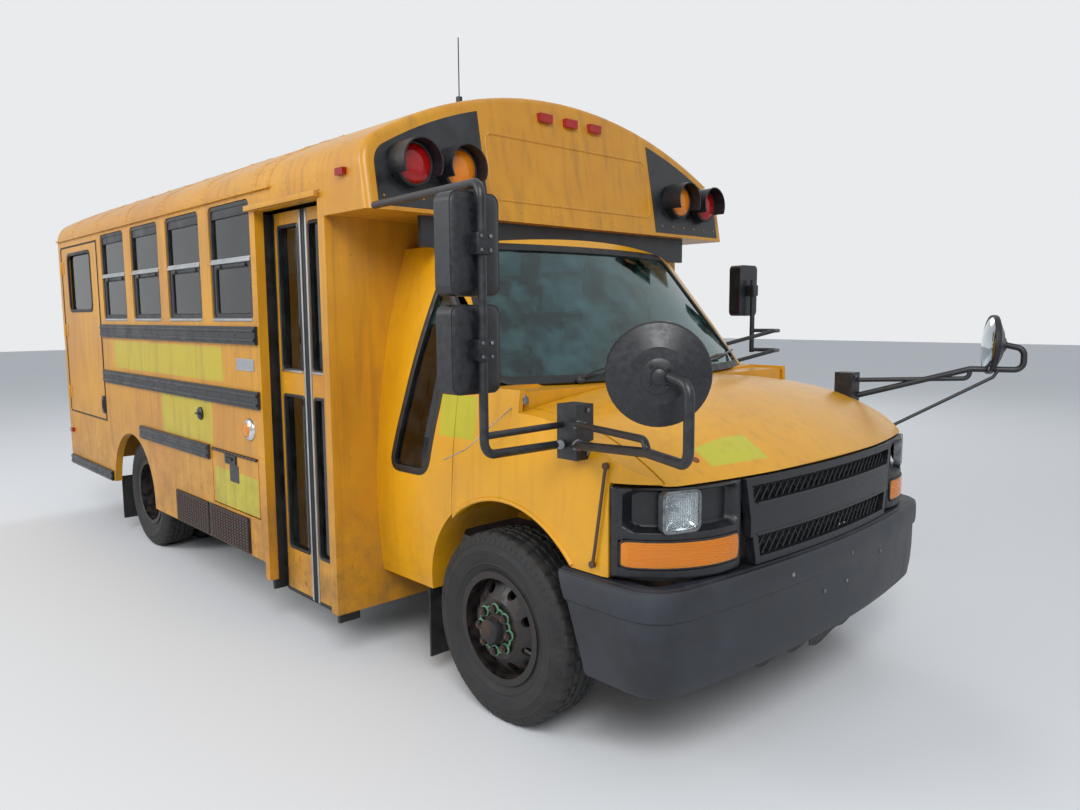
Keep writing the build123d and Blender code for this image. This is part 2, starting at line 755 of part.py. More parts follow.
# Holes for a plate in the front bumper
plate_spacing = 178.0
plate_hole = 3.5
plate_z = 520.0
with BuildPart() as drilled_bumper:
    add(front_bumper.part)
    with Locations((bumper_front, -plate_spacing / 2, plate_z), (bumper_front, plate_spacing / 2, plate_z)):
        Cylinder(plate_hole, 120, rotation=(0, 90, 0), mode=Mode.SUBTRACT)

rear_bumper_front = body_rear - seat_play
rear_bumper_back = axle_rear - rear_reach
with BuildPart() as rear_bumper:
    with BuildSketch(Plane.XZ.offset(-body_half + 40)):
        with BuildLine():
            Polyline((rear_bumper_front, 645), (rear_bumper_back, 645), (rear_bumper_back, 415),
                     (rear_bumper_front, 415), (rear_bumper_front, 421), (rear_bumper_back + 6, 421),
                     (rear_bumper_back + 6, 639), (rear_bumper_front, 639), close=True)
        make_face()
    extrude(amount=2 * body_half - 80)

# Wheels, drawn round their own axle with the outside towards +Y
tyre_radius = tyre_diameter / 2
tread_half = 78.0


def placed_wheel(piece, x, y, side):
    """A wheel piece moved to its place, its outside to the side that it is on."""
    turned = piece if side > 0 else piece.rotate(Axis.Z, 180)
    return Pos(x, side * y, hub_height) * turned


with BuildPart() as tyre:
    with BuildSketch():
        with BuildLine():
            seat = rim_half - 10
            Polyline((rim_radius, -seat), (rim_radius, seat), (rim_radius + flange_height + 8, seat))
            ThreePointArc((rim_radius + flange_height + 8, seat), (295, tyre_width / 2), (345, tread_half + 22))
            ThreePointArc((345, tread_half + 22), (364, tread_half + 14), (tyre_radius - 3, tread_half - 8))
            ThreePointArc((tyre_radius - 3, tread_half - 8), (tyre_radius, 0), (tyre_radius - 3, 8 - tread_half))
            ThreePointArc((tyre_radius - 3, 8 - tread_half), (364, -tread_half - 14), (345, -tread_half - 22))
            ThreePointArc((345, -tread_half - 22), (295, -tyre_width / 2), (rim_radius + flange_height + 8, -seat))
            Line((rim_radius + flange_height + 8, -seat), (rim_radius, -seat))
        make_face()
    revolve(axis=Axis.Y)

disc_sheet = 10.0
hub_bore = 62.0


def rim(pad):
    """Steel rim whose disc is dished out to a flat pad at the given offset."""
    with BuildPart() as wheel:
        with BuildSketch():
            with BuildLine():
                low, lip = rim_radius - disc_sheet, rim_radius + flange_height
                Polyline((low, -rim_half), (lip, -rim_half), (lip, -seat), (rim_radius, -seat),
                         (rim_radius, seat), (lip, seat), (lip, rim_half), (low, rim_half), close=True)
            make_face()
        revolve(axis=Axis.Y)
        with BuildSketch():
            with BuildLine():
                inside = pad - disc_sheet
                Polyline((hub_bore, pad), (hub_bore, inside), (112, inside), (low + 2, 15), (low + 2, 40),
                         (115, pad), close=True)
            make_face()
        revolve(axis=Axis.Y)
        with Locations(Plane.XZ):
            with PolarLocations(152, lug_count, start_angle=22.5):
                Cylinder(19, 500, mode=Mode.SUBTRACT)
            with PolarLocations(lug_circle / 2, lug_count):
                Cylinder(16, 2 * 26 + 2 * pad, align=(Align.CENTER, Align.CENTER, Align.CENTER))
        add(Pos(0, -500 + inside, 0) * Box(400, 1000, 400, mode=Mode.PRIVATE) & wheel_bore(), mode=Mode.SUBTRACT)
    return wheel.part


def wheel_bore():
    """Clear space inside the barrel, behind the disc."""
    return Cylinder(110, 1000, rotation=(90, 0, 0), mode=Mode.PRIVATE)


front_pad = 100.0
dual_pad = dual_spacing / 2 - 6
front_rim = rim(front_pad)
dual_rim = rim(dual_pad)
wheel_pieces = {}
for word, side in (("left", 1), ("right", -1)):
    wheel_pieces[f"tyre_front_{word}"] = placed_wheel(tyre.part, axle_front, track_front / 2, side)
    wheel_pieces[f"rim_front_{word}"] = placed_wheel(front_rim, axle_front, track_front / 2, side)
    outer, inner = dual_middle + dual_spacing / 2, dual_middle - dual_spacing / 2
    wheel_pieces[f"tyres_rear_{word}"] = Part() + [
        placed_wheel(tyre.part, axle_rear, outer, side), placed_wheel(tyre.part, axle_rear, inner, side)
    ]
    wheel_pieces[f"rims_rear_{word}"] = Part() + [
        placed_wheel(dual_rim, axle_rear, outer, -side).moved(Location((0, 2 * side * outer, 0))),
        placed_wheel(dual_rim, axle_rear, inner, side),
    ]

# Knuckles: an upright with a stub axle and the hub that the wheel turns on
kingpin_y = 745.0
steer_limit = 30.0  # degrees
hub_radius = 60.0
knuckle = {}
for word, side in (("left", 1), ("right", -1)):
    with BuildPart() as upright:
        with Locations((axle_front, side * kingpin_y, hub_height)):
            Box(80, 50, 210)
        with Locations((axle_front, side * (kingpin_y + 40), hub_height)):
            Cylinder(150, 16, rotation=(90, 0, 0))
        stub_end = track_front / 2 + front_pad - disc_sheet - seat_play
        with Locations((axle_front, side * (kingpin_y + stub_end) / 2, hub_height)):
            Cylinder(hub_radius - 5, stub_end - kingpin_y, rotation=(90, 0, 0))
        with Locations((axle_front - 90, side * (kingpin_y - 5), hub_height - 40)):
            Box(130, 24, 30)
    knuckle[word] = upright.part

# Front suspension: a cross-member with the lower and upper arms that carry the knuckles
arm_end = kingpin_y + 10
arm_levels = (hub_height - 142, 34, 170), (hub_height + 111, 26, 110)
with BuildPart() as front_suspension:
    add(block(axle_front - 110, axle_front + 110, -rail_half + 30, rail_half - 30, 250, 400))
    for side in (-1, 1):
        for low, thick, half_root in arm_levels:
            with BuildSketch(Plane.XY.offset(low)):
                with BuildLine():
                    inner = side * (rail_half + 2)
                    Polyline(
                        (axle_front - half_root, inner),
                        (axle_front + half_root, inner),
                        (axle_front + 26, side * arm_end),
                        (axle_front - 26, side * arm_end),
                        close=True,
                    )
                make_face()
            extrude(amount=thick)
        add(block(axle_front - 110, axle_front + 110, side * (rail_half + 2), side * (rail_half + 40), 228, 512))
        add(block(axle_front - 110, axle_front + 110, side * (rail_half - 30), side * (rail_half + 40), 228, 400))
        post = side * (rail_half - 60), side * (rail_half - 30)
        add(block(axle_front - 100, axle_front + 100, *post, 250, rail_top - rail_height))

# Frame: two channel rails and their cross-members
rail_front = axle_front + 700
member_stations = (
    axle_front - 950, axle_front - 1500, axle_front - 2350, axle_rear + 500, axle_rear - 600, rail_rear + 90,
)
tow_bore = 22.0
tow_plate = 20.0
tow_x, tow_z = body_rear + 110, 350.0
with BuildPart() as chassis_frame:
    for side in (-1, 1):
        web = side * rail_half
        add(block(rail_rear, rail_front, web, web - side * rail_wall, rail_top - rail_height, rail_top))
        for z in (rail_top - rail_wall, rail_top - rail_height):
            add(block(rail_rear, rail_front, web, web - side * rail_width, z, z + rail_wall))
    for x in member_stations:
        add(block(x - 30, x + 30, -rail_half + rail_wall, rail_half - rail_wall, rail_top - 70, rail_top - 10))
    for side in (-1, 1):
        eye = side * rail_half, side * (rail_half + tow_plate)
        add(block(tow_x - 50, tow_x + 50, *eye, 300, rail_top - 40))
    with Locations((tow_x, 0, tow_z)):
        Cylinder(tow_bore, 2 * rail_half + 100, rotation=(90, 0, 0), mode=Mode.SUBTRACT)

# Engine: one plain block with its gearbox behind it
gearbox_rear = axle_front - 900
with BuildPart() as engine:
    add(block(axle_front - 40, axle_front + 600, -310, 310, 480, 1080))
    add(block(gearbox_rear, axle_front - 40, -170, 170, 450, 640))

# Rear axle with its springs and propeller shaft
spring_y = 545.0
with BuildPart() as rear_axle:
    with Locations((axle_rear, 0, hub_height)):
        Cylinder(62, 2 * (dual_middle - 15), rotation=(90, 0, 0))
        Sphere(165)
    for side in (-1, 1):
        with BuildSketch(Plane.XZ.offset(-side * spring_y - 35)):
            with BuildLine():
                ThreePointArc((axle_rear - 700, 560), (axle_rear, 434), (axle_rear + 700, 560))
                Line((axle_rear + 700, 560), (axle_rear + 700, 585))
                ThreePointArc((axle_rear + 700, 585), (axle_rear, 490), (axle_rear - 700, 585))
                Line((axle_rear - 700, 585), (axle_rear - 700, 560))
            make_face()
        extrude(amount=70)
        add(block(axle_rear - 60, axle_rear + 60, side * (spring_y - 40), side * (spring_y + 40), 405, 455))
        for x in (axle_rear - 690, axle_rear + 660):
            add(block(x, x + 30, side * rail_half, side * (spring_y + 30), 540, 620))
    shaft_start = Vector(axle_rear + 140, 0, 395)
    shaft_end = Vector(gearbox_rear - 5, 0, 512)
    with Locations(Plane(origin=shaft_start, z_dir=shaft_end - shaft_start)):
        Cylinder(42, (shaft_end - shaft_start).length, align=(Align.CENTER, Align.CENTER, Align.MIN))

with BuildPart() as fuel_tank:
    add(block(axle_front - 2300, axle_front - 1050, 500, 950, 330, 640))
    fillet(fuel_tank.edges().filter_by(Axis.X), 60)

with BuildPart() as exhaust:
    with Locations((axle_front - 1500, -560, 520)):
        Cylinder(95, 650, rotation=(0, 90, 0))
with BuildPart() as mud_flaps:
    for side in (-1, 1):
        add(block(axle_front - 490, axle_front - 480, side * 770, side * 940, 100, cab_bottom))
        add(block(axle_rear - 480, axle_rear - 470, side * 620, side * 1130, 110, 420))

# Warning lamps in pairs on both ends, each with its visor, and the small lamps
lamp_radius = 89.0
visor_depth = {1: 120.0, -1: 100.0}
# x, y, z, facing (1 forward, -1 rearward)
cap_lamp_x = cap_front - 30
lamp_table = (
    (cap_lamp_x, 755, 2170, 1), (cap_lamp_x, 985, 2165, 1), (body_rear, 755, 2250, -1), (body_rear, 985, 2235, -1),
)
with BuildPart() as warning_lamps:
    for x, y, z, facing in lamp_table:
        for side in (-1, 1):
            with BuildSketch(Plane(origin=(x, side * y, z), z_dir=(facing, 0, 0))):
                Circle(lamp_radius)
            extrude(amount=40 if facing < 0 else 50)
            with BuildSketch(Plane(origin=(x, side * y, z), x_dir=(0, 1, 0), z_dir=(facing, 0, 0))):
                Circle(lamp_radius + 6)
                Circle(lamp_radius, mode=Mode.SUBTRACT)
                with Locations((0, -facing * lamp_radius)):
                    Rectangle(3 * lamp_radius, lamp_radius, mode=Mode.SUBTRACT)
            extrude(amount=visor_depth[facing])
    add(front_cap.part, mode=Mode.SUBTRACT)

with BuildPart() as small_lamps:
    for y in (-170, 0, 170):
        add(block(cap_front - 130, cap_front - 62, y - 40, y + 40, 2462, 2500))
        add(block(body_rear - 22, body_rear, y - 40, y + 40, 2440, 2478))
    for side in (-1, 1):
        add(block(axle_front - 690, axle_front - 630, side * body_half, side * (body_half + 20), 2122, 2150))
        add(block(body_rear + 60, body_rear + 120, side * body_half, side * (body_half + 20), 660, 690))
    add(cap_form.part, mode=Mode.SUBTRACT)
    for side in (-1, 1):
        with Locations((body_rear - 14, side * 960, 1250), (body_rear - 14, side * 960, 1080)):
            Cylinder(89, 28, rotation=(0, 90, 0))
        with Locations((body_rear - 14, side * 960, 900)):
            Cylinder(60, 28, rotation=(0, 90, 0))

# Mirrors: two tall heads stand on the right fender and one on the driver's door. Each fender
# carries a round crossover mirror ahead of the nose, turned to the driver's eyes.
bracket_x = (axle_front + 370, axle_front + 460)
bracket_z = (1085.0, 1270.0)
fender_post = (axle_front + 440, -mirror_reach)
door_post = (axle_front - 390, mirror_reach)
# middle and height of each head
fender_heads = ((1770.0, 300.0), (1463.0, 265.0))
door_heads = ((1697.0, 300.0),)
head_offset = 65.0
eyes = Vector(axle_front - 450, 430, 1500)
crossover_centre = (axle_front + 980, 1246, 1410)
crossover_depth = 45.0
elbow_x = axle_front + front_reach - tube_diameter / 2 - 10


def crossover_disc_at(side):
    """Round mirror of one side: a shallow bowl that faces the driver's eyes."""
    centre = Vector(crossover_centre[0], side * crossover_centre[1], crossover_centre[2])
    radius = crossover_disc / 2
    facing = (eyes - centre).normalized()
    across = facing.cross(Vector(0, 0, 1)).normalized()
    with BuildPart() as bowl:
        with BuildSketch(Plane(origin=centre, x_dir=facing.cross(across), z_dir=across)):
            with BuildLine():
                Polyline((0, 12), (radius, 12), (radius, -8), (radius * 0.55, 8 - crossover_depth), (0, -crossover_depth))
                Line((0, -crossover_depth), (0, 12))
            make_face()
        revolve(axis=Axis(centre, facing))
    return bowl.part


def crossover_arms(side, low, high, reach_z):
    """Bracket on one fender, with the long arm to the round mirror and the short arm that braces it."""
    foot = bracket_x[1] - 20, side * 1000
    elbow = elbow_x, side * 1284
    joint = axle_front + 905, side * 1198
    tip = axle_front + 1000, side * 1262, crossover_centre[2] + 5
    return [
        tube(((*foot, low), (*joint, reach_z), (*elbow, reach_z), (*elbow, 1392), tip), 38, tube_diameter),
        tube(((*foot, high), (*joint, high + 20), (*joint, reach_z)), 30, 22),
        block(*bracket_x, side * 930, side * 1012, *bracket_z),
    ]


def tall_heads(post, heads):
    """Mirror heads one above the other behind a post."""
    with BuildPart() as pair:
        for z, height in heads:
            with Locations((post[0] - head_offset, post[1], z)):
                Box(head_depth, head_width, height)
        fillet(pair.edges().filter_by(Axis.X), 30)
    return pair.part


with BuildPart() as mirror_arms:
    for piece in crossover_arms(-1, 1135, 1205, 1190):
        add(piece)
    for piece in crossover_arms(1, 1150, 1230, 1295):
        add(piece)
    foot = bracket_x[0] + 20, -1000
    stay_foot = axle_front - 445, -body_half + 8, 1985
    add(tube(((*foot, 1135), (*fender_post, 1149), (*fender_post, 1945), stay_foot), 45, tube_diameter))
    add(tube(((*foot, 1200), (*fender_post, 1206)), 0, 22))
    add(front_cap.part, mode=Mode.SUBTRACT)
    add(nose_outer, mode=Mode.SUBTRACT)
with BuildPart() as mirror_heads:
    add(tall_heads(fender_post, fender_heads))
    for side in (-1, 1):
        add(crossover_disc_at(side))
    add(mirror_arms.part, mode=Mode.SUBTRACT)

with BuildPart() as door_mirror_arms:
    plate = axle_front - 352, axle_front - 328
    for low, high in ((1265, 1345), (1375, 1460)):
        root = sum(plate) / 2, 925
        hoop = (*root, low), (axle_front - 205, 1320, high), (axle_front - 235, 1440, high), (*door_post, high)
        add(tube(hoop, 35, 22))
    add(tube(((*door_post, 1330), (*door_post, 1760)), 0, tube_diameter))
    add(block(*plate, 900, 965, 1240, 1400))
    add(prism(cab_outline(0, cab_bottom), bulkhead_face, cowl_x), mode=Mode.SUBTRACT)
with BuildPart() as door_mirror_heads:
    add(tall_heads(door_post, door_heads))
    add(door_mirror_arms.part, mode=Mode.SUBTRACT)

# Stop arm: a plain octagonal blade that folds out from its bracket on the left wall
with BuildPart() as stop_arm:
    with BuildSketch(Plane.XZ.offset(-body_half - rail_depth - 30)):
        with Locations((stop_hinge - 60 - stop_across / 2, 1312)):
            RegularPolygon(stop_across / 2, 8, major_radius=False, rotation=22.5)
        with Locations((stop_hinge - 60, 1312)):
            Rectangle(100, 160)
    extrude(amount=-14)
# Cabin: dash, steering wheel, seats
with BuildPart() as dash:
    add(block(firewall_x - 330, firewall_x - cab_wall - seat_play, -840, 840, 1000, 1230))
    fillet(dash.edges().filter_by(Axis.Y).group_by(Axis.X)[0], 60)
wheel_centre = (firewall_x - 450, 430, 1270)
with BuildPart() as steering_wheel:
    with Locations(Location(wheel_centre, (0, -50, 0))):
        Torus(190, 15)
        Cylinder(45, 40)
        Box(380, 30, 14)
        with Locations((0, 0, -130)):
            Cylinder(24, 260)
    add(dash.part, mode=Mode.SUBTRACT)
    add(block(firewall_x - 120, firewall_x + 300, 200, 600, 900, 1300), mode=Mode.SUBTRACT)


def seat(x, y, base, width, depth, back):
    """Padded seat facing forward: a cushion and a back in one outline, drawn from the side."""
    with BuildPart() as padded:
        with BuildSketch(Plane.XZ.offset(-y - width / 2)):
            with BuildLine():
                Polyline((x, base), (x, base + 130), (x - depth + 110, base + 120), (x - depth + 20, base + back),
                         (x - depth - 70, base + back), (x - depth, base), close=True)
            make_face()
        extrude(amount=width)
        fillet(padded.edges().filter_by(Axis.Y), 25)
    return padded.part


bench_rows = {1: 3, -1: 2}
bench_pitch = 760.0
bench_first = axle_front - 1560.0
with BuildPart() as seats:
    add(seat(firewall_x - 500, 430, 900, 480, 500, 700))
    for side, rows in bench_rows.items():
        for row in range(rows):
            add(seat(bench_first - row * bench_pitch, side * 680, floor_top + 330, 880, 460, 640))
with BuildPart() as seat_frames:
    add(block(bulkhead_face + 6, firewall_x - 540, 230, 630, cab_floor, 900))
    for side, rows in bench_rows.items():
        for row in range(rows):
            x = bench_first - row * bench_pitch
            for leg in (x - 60, x - 380):
                with Locations((leg, side * 340, floor_top + 165), (leg, side * 1000, floor_top + 165)):
                    Cylinder(14, 330)

# Antenna on the roof and the thin one bent across the right fender
antenna_foot = (axle_front - 1038, -300, roof_top - 22)
with BuildPart() as antennas:
    with Locations((antenna_foot[0], antenna_foot[1], antenna_foot[2] + 45)):
        Cylinder(16, 90)
    with Locations((antenna_foot[0], antenna_foot[1], antenna_foot[2] + 225)):
        Cylinder(3, 300)
    add(front_cap.part, mode=Mode.SUBTRACT)

os.makedirs("parts", exist_ok=True)
pieces = {
    "side_wall_right": side_wall_right,
    "side_wall_left": side_wall_left,
    "rear_wall": rear_wall.part,
    "roof": roof.part,
    "front_cap": front_cap.part,
    "bulkhead": bulkhead.part,
    "floor": floor.part,
    "entrance_steps": entrance_steps.part,
    "entrance_leaf_rear": entrance_leaves["rear"],
    "entrance_leaf_front": entrance_leaves["front"],
    "entrance_glass_rear": entrance_glass["rear"],
    "entrance_glass_front": entrance_glass["front"],
    "lift_door": lift_door.part,
    "lift_glass": lift_glass.part,
    "battery_door": battery_door.part,
    "emergency_door": emergency_door.part,
    "emergency_glass": emergency_glass.part,
    "fixed_glass": fixed_glass.part,
    "rub_rails": rub_rails.part,
    "skirt_louvres": skirt_louvres.part,
    "cab_shell": cab_shell_cut.part,
    "driver_door": driver_door.part,
    "driver_glass": driver_glass,
    "hood": hood.part,
    "fenders": fenders.part,
    "lamp_bezels": lamp_bezels.part,
    "turn_lamps": turn_lamps.part,
    "headlamps": headlamps.part,
    "grille": grille.part,
    "front_bumper": drilled_bumper.part,
    "rear_bumper": rear_bumper.part,
    "knuckle_left": knuckle["left"],
    "knuckle_right": knuckle["right"],
    "front_suspension": front_suspension.part,
    "chassis_frame": chassis_frame.part,
    "engine": engine.part,
    "rear_axle": rear_axle.part,
    "fuel_tank": fuel_tank.part,
    "exhaust": exhaust.part,
    "mud_flaps": mud_flaps.part,
    "warning_lamps": warning_lamps.part,
    "small_lamps": small_lamps.part,
    "mirror_arms": mirror_arms.part,
    "mirror_heads": mirror_heads.part,
    "door_mirror_arms": door_mirror_arms.part,
    "door_mirror_heads": door_mirror_heads.part,
    "stop_arm": stop_arm.part,
    "dash": dash.part,
    "steering_wheel": steering_wheel.part,
    "seats": seats.part,
    "seat_frames": seat_frames.part,
    "antennas": antennas.part,
    **wheel_pieces,
}
for name, piece in pieces.items():
    piece.label = name
    export_step(piece, f"parts/{name}.step")
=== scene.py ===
import bmesh
import bpy
import json
import math
from mathutils import Matrix, Vector
from mathutils.bvhtree import BVHTree


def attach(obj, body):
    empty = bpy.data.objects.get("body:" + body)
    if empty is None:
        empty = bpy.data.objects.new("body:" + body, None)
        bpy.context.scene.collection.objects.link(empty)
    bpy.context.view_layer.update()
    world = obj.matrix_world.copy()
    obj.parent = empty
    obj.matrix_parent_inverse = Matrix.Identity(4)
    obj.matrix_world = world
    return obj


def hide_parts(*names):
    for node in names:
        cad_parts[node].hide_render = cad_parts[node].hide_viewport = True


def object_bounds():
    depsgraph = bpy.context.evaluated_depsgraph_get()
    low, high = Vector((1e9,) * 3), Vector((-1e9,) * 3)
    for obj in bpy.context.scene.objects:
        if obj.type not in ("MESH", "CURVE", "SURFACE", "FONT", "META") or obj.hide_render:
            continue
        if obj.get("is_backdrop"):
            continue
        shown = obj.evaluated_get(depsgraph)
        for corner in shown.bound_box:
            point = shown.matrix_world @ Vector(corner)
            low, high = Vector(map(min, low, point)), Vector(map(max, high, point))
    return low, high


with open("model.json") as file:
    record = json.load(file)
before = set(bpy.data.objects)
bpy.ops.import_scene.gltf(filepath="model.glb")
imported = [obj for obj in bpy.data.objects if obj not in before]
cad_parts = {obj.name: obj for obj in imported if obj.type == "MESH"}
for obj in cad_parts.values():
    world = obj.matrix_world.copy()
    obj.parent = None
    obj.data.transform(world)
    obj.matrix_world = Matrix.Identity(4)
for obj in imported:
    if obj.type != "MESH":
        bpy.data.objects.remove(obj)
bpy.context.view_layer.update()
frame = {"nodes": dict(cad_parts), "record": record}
scene = bpy.context.scene

# Stations of the model in millimetres, as in the source: X forward, Y left, Z up
AXLE_FRONT = 2017.5
AXLE_REAR = -1513.5
BODY_HALF = 1190.0
BODY_REAR = -3037.5
TYRE_RADIUS = HUB_HEIGHT = 372.0
FRONT_DISC = 974.0


def front(distance):
    """Station that far ahead of the front axle."""
    return AXLE_FRONT + distance


# ------------------------------------------------------------------ camera, floor and light
def make_camera():
    """Camera at the photograph's place: heading 43.4 degrees off the bus's axis, 6.4 down."""
    heading, down, roll = math.radians(43.4), math.radians(6.4), math.radians(-0.4)
    forward = Vector((-math.cos(heading) * math.cos(down), math.sin(heading) * math.cos(down), -math.sin(down)))
    level = forward.cross(Vector((0, 0, 1))).normalized()
    upright = level.cross(forward)
    right = math.cos(roll) * level + math.sin(roll) * upright
    up = right.cross(forward)
    lens = bpy.data.cameras.new("camera")
    lens.sensor_width = 36.0
    lens.lens = 811 / 1080 * 36.0
    lens.clip_end = 200.0
    camera = bpy.data.objects.new("camera", lens)
    turn = Matrix((right, up, -forward)).transposed().to_4x4()
    camera.matrix_world = Matrix.Translation((4.3042, -2.9022, 1.5666)) @ turn
    scene.collection.objects.link(camera)
    scene.camera = camera


def linear(code):
    """Linear colour of an sRGB hex code."""
    parts = [int(code[i:i + 2], 16) / 255 for i in (1, 3, 5)]
    return tuple(c / 12.92 if c <= 0.04045 else ((c + 0.055) / 1.055) ** 2.4 for c in parts) + (1.0,)


def plug(tree, target, inputs):
    """Link or set each named input of a shader node."""
    for key, value in inputs.items():
        if isinstance(value, bpy.types.NodeSocket):
            tree.links.new(value, target.inputs[key])
        else:
            target.inputs[key].default_value = value


def node(tree, kind, inputs=None, **settings):
    """Add one shader node with its settings and inputs."""
    made = tree.nodes.new("ShaderNode" + kind)
    for key, value in settings.items():
        setattr(made, key, value)
    plug(tree, made, inputs or {})
    return made


def make_stage():
    """Pale floor, pale world and three soft lamps."""
    world = bpy.data.worlds.new("studio")
    scene.world = world
    world.use_nodes = True
    tree = world.node_tree
    tree.nodes.clear()
    path = node(tree, "LightPath").outputs
    seen = node(tree, "Math", {0: path["Is Camera Ray"], 1: path["Is Glossy Ray"]}, operation="ADD")
    shown = node(tree, "Math", {0: seen.outputs[0], 1: path["Is Transmission Ray"]}, operation="ADD", use_clamp=True)
    lit = node(tree, "Background", {"Color": linear("#e8eef6"), "Strength": 0.55})
    backdrop = node(tree, "Background", {"Color": linear("#e9ebed"), "Strength": 1.0})
    mixed = node(tree, "MixShader", {0: shown.outputs[0], 1: lit.outputs[0], 2: backdrop.outputs[0]})
    node(tree, "OutputWorld", {"Surface": mixed.outputs[0]})

    floor_mesh = bpy.data.meshes.new("studio_floor")
    floor_mesh.from_pydata([(-40, -40, 0), (40, -40, 0), (40, 40, 0), (-40, 40, 0)], [], [(0, 1, 2, 3)])
    floor = bpy.data.objects.new("studio_floor", floor_mesh)
    scene.collection.objects.link(floor)
    concrete = bpy.data.materials.new("pale_studio_floor")
    concrete.use_nodes = True
    plug(concrete.node_tree, concrete.node_tree.nodes["Principled BSDF"],
         {"Base Color": linear("#dfe1e3"), "Roughness": 0.7})
    floor_mesh.materials.append(concrete)
    floor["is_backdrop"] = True

    for name, place, aim, power in (
        ("key", (7.5, -6.0, 7.0), (0.8, -0.6, 1.0), 620.0),
        ("side", (-3.5, -9.0, 5.5), (-0.5, -0.8, 1.2), 420.0),
        ("rim", (-6.0, 8.0, 6.0), (0.0, 0.5, 1.5), 300.0),
    ):
        area = bpy.data.lights.new(name, "AREA")
        area.shape, area.size, area.energy = "DISK", 5.0, power
        lamp = bpy.data.objects.new(name, area)
        lamp.location = place
        lamp.rotation_euler = (Vector(aim) - Vector(place)).to_track_quat("-Z", "Y").to_euler()
        scene.collection.objects.link(lamp)


make_camera()
make_stage()
scene.view_settings.view_transform = "Standard"


# ------------------------------------------------------------------ finishes
def new_finish(name):
    """Empty material with its tree, its principled shader and the object coordinates in metres."""
    finish = bpy.data.materials.new(name)
    finish.use_nodes = True
    tree = finish.node_tree
    return finish, tree, tree.nodes["Principled BSDF"], node(tree, "TexCoord").outputs["Object"]


def blotches(tree, coords, scale, detail, rough, low, high, most=1.0):
    """Noise of that scale per metre, and a mask that climbs to most between two of its levels."""
    noise = node(tree, "TexNoise", {"Vector": coords, "Scale": scale, "Detail": detail, "Roughness": rough})
    height = noise.outputs["Fac"]
    mask = node(tree, "MapRange", {"Value": height, "From Min": low, "From Max": high, "To Max": most})
    return height, mask.outputs[0]


def inside(tree, coords, middle, half, ragged):
    """Mask of 1 inside a box in metres, with an edge that wanders by the ragged share of its size."""
    wander = node(tree, "TexNoise", {"Vector": coords, "Scale": 9.0, "Detail": 3.0})
    moved = node(tree, "VectorMath", {0: coords, 1: middle}, operation="SUBTRACT")
    sized = node(tree, "VectorMath", {0: moved.outputs[0], 1: half}, operation="DIVIDE")
    folded = node(tree, "VectorMath", {0: sized.outputs[0]}, operation="ABSOLUTE")
    axes = node(tree, "SeparateXYZ", {0: folded.outputs[0]}).outputs
    wide = node(tree, "Math", {0: axes[0], 1: axes[1]}, operation="MAXIMUM")
    widest = node(tree, "Math", {0: wide.outputs[0], 1: axes[2]}, operation="MAXIMUM")
    edge = node(tree, "Math", {0: wander.outputs["Fac"], 1: ragged, 2: widest.outputs[0]}, operation="MULTIPLY_ADD")
    limits = {"From Min": 1.0 + ragged * 0.5, "From Max": 0.97 + ragged * 0.5}
    return node(tree, "MapRange", {"Value": edge.outputs[0], **limits}).outputs[0]


